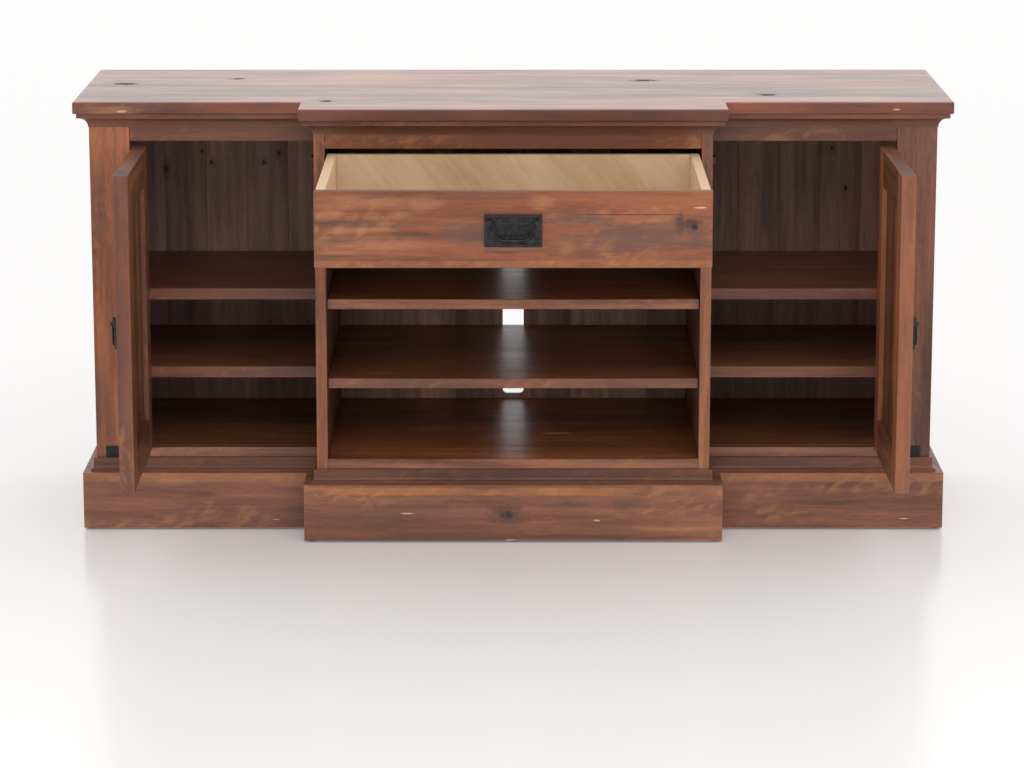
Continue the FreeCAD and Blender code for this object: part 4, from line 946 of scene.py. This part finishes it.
def fasten(name, head, places, body, finish):
    """One mesh with a copy of the head at each (place, direction, turn), riding on a body."""
    points, faces = [], []
    for place, direction, turn in places:
        aim = Vector(direction).to_track_quat("Z", "Y").to_matrix().to_4x4()
        here = Matrix.Translation(place) @ aim @ Matrix.Rotation(math.radians(turn), 4, "Z")
        first = len(points)
        points += [tuple(here @ Vector(point)) for point in head[0]]
        faces += [tuple(first + corner for corner in face) for face in head[1]]
    mesh = bpy.data.meshes.new(name)
    mesh.from_pydata(points, [], faces)
    mesh.materials.append(finish)
    piece = bpy.data.objects.new(name, mesh)
    bpy.context.collection.objects.link(piece)
    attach(piece, body)
    print(name, len(places))


# %% Pins in the iron plates
PIN = nail_head(0.0021, 0.0013)
SHEET = 0.002
RIM_CLEAR = 0.0085
FOOT_PIN = nail_head(0.0018, 0.001)
FOOT_CLEAR = 0.006
FOOT_PINS_APART = 0.015


def plate_corners(low, high, across):
    """The four places of a plate's pins: across is 0 for a plate seen from the front, 1 from a side."""
    sides = (low[across] + RIM_CLEAR, high[across] - RIM_CLEAR)
    return [(a, z) for a in sides for z in (low[2] + RIM_CLEAR, high[2] - RIM_CLEAR)]


spots = [((x, DRAWER_FRONT - SHEET, z), (0, -1, 0), 0) for x, z in plate_corners(plate_low, plate_high, 0)]
fasten("drawer_pull_pins", PIN, spots, "drawer", iron)
for hand, side in (("left", -1), ("right", 1)):
    low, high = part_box(hand + "_pull_plate")
    face = high[0] if side < 0 else low[0]
    spots = [((face + side * SHEET, y, z), (side, 0, 0), 0) for y, z in plate_corners(low, high, 1)]
    fasten(hand + "_pull_pins", PIN, spots, hand + "_door", iron)
    low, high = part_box("foot_plates")
    outer = high[0] - FOOT_CLEAR
    spots = [((side * x, low[1], z), (0, -1, 0), 0)
             for x in (outer, outer - FOOT_PINS_APART) for z in (low[2] + FOOT_CLEAR, high[2] - FOOT_CLEAR)]
    fasten(hand + "_foot_plate_pins", FOOT_PIN, spots, "cabinet", iron)

# %% Screws in the hinge leaves
SCREW = slotted_head(0.0032, 0.0002, 0.0008, 0.00015)
LEAF_FACE, AXIS_X, AXIS_Y = 0.800, 0.79975, -0.483
HINGE_INSET = 0.085
door_low, door_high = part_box("left_door_stiles")
HINGE_HEIGHTS = (door_low[2] + HINGE_INSET, door_high[2] - HINGE_INSET)
OPEN_DEGREES = {"left": 89.6, "right": 90.5}
for hand, side in (("left", -1), ("right", 1)):
    spots = [((side * LEAF_FACE, AXIS_Y + 0.018 + 0.005 * (row % 2), z + up), (-side, 0, 0), 35 * row)
             for z in HINGE_HEIGHTS for row, up in enumerate((-0.024, 0.0, 0.024))]
    fasten(hand + "_hinge_frame_screws", SCREW, spots, "cabinet", dark_steel)
    # the leaves on the door are laid out on a shut door and swung open with it
    swing = Matrix.Rotation(math.radians(side * OPEN_DEGREES[hand]), 4, "Z")
    spots = []
    for z in HINGE_HEIGHTS:
        for row, (out, up) in enumerate(((0.013, -0.005), (0.022, 0.005))):
            place = swing @ Vector((-side * 0.00025, out, 0.0)) + Vector((side * AXIS_X, AXIS_Y, z + up))
            spots.append((tuple(place), tuple(swing @ Vector((side, 0, 0))), 50 * row))
    fasten(hand + "_hinge_door_screws", SCREW, spots, hand + "_door", dark_steel)

# %% Nails in the back boards
NAIL = nail_head(0.0028, 0.0009)
BACK_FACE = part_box("back_panel_left")[1][1]
SLOT_HEIGHTS = (0.18, 0.64)
BOTTOM_ROW, UPPER_ROWS = 0.165, [0.660, 0.880]
shelf_boxes = [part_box("shelf_left_" + level) for level in ("lower", "upper")]
NAIL_ROWS = [BOTTOM_ROW] + [(low[2] + high[2]) / 2 for low, high in shelf_boxes] + UPPER_ROWS
spots = []
for where, (start, width, count) in BACK_BOARDS.items():
    for board in range(count):
        middle = start + (board + 0.5) * width
        for z in NAIL_ROWS:
            # beside the cable slot the nails keep further from the middle of their board
            slotted = where == "centre" and board == count // 2 and SLOT_HEIGHTS[0] < z < SLOT_HEIGHTS[1]
            reach = width * (0.38 if slotted else 0.28)
            spots += [((middle + way * reach, BACK_FACE, z), (0, 1, 0), 0) for way in (-1, 1)]
fasten("back_board_nails", NAIL, spots, "cabinet", dark_steel)

low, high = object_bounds()
print("visual box", [round(v, 4) for v in low], [round(v, 4) for v in high])
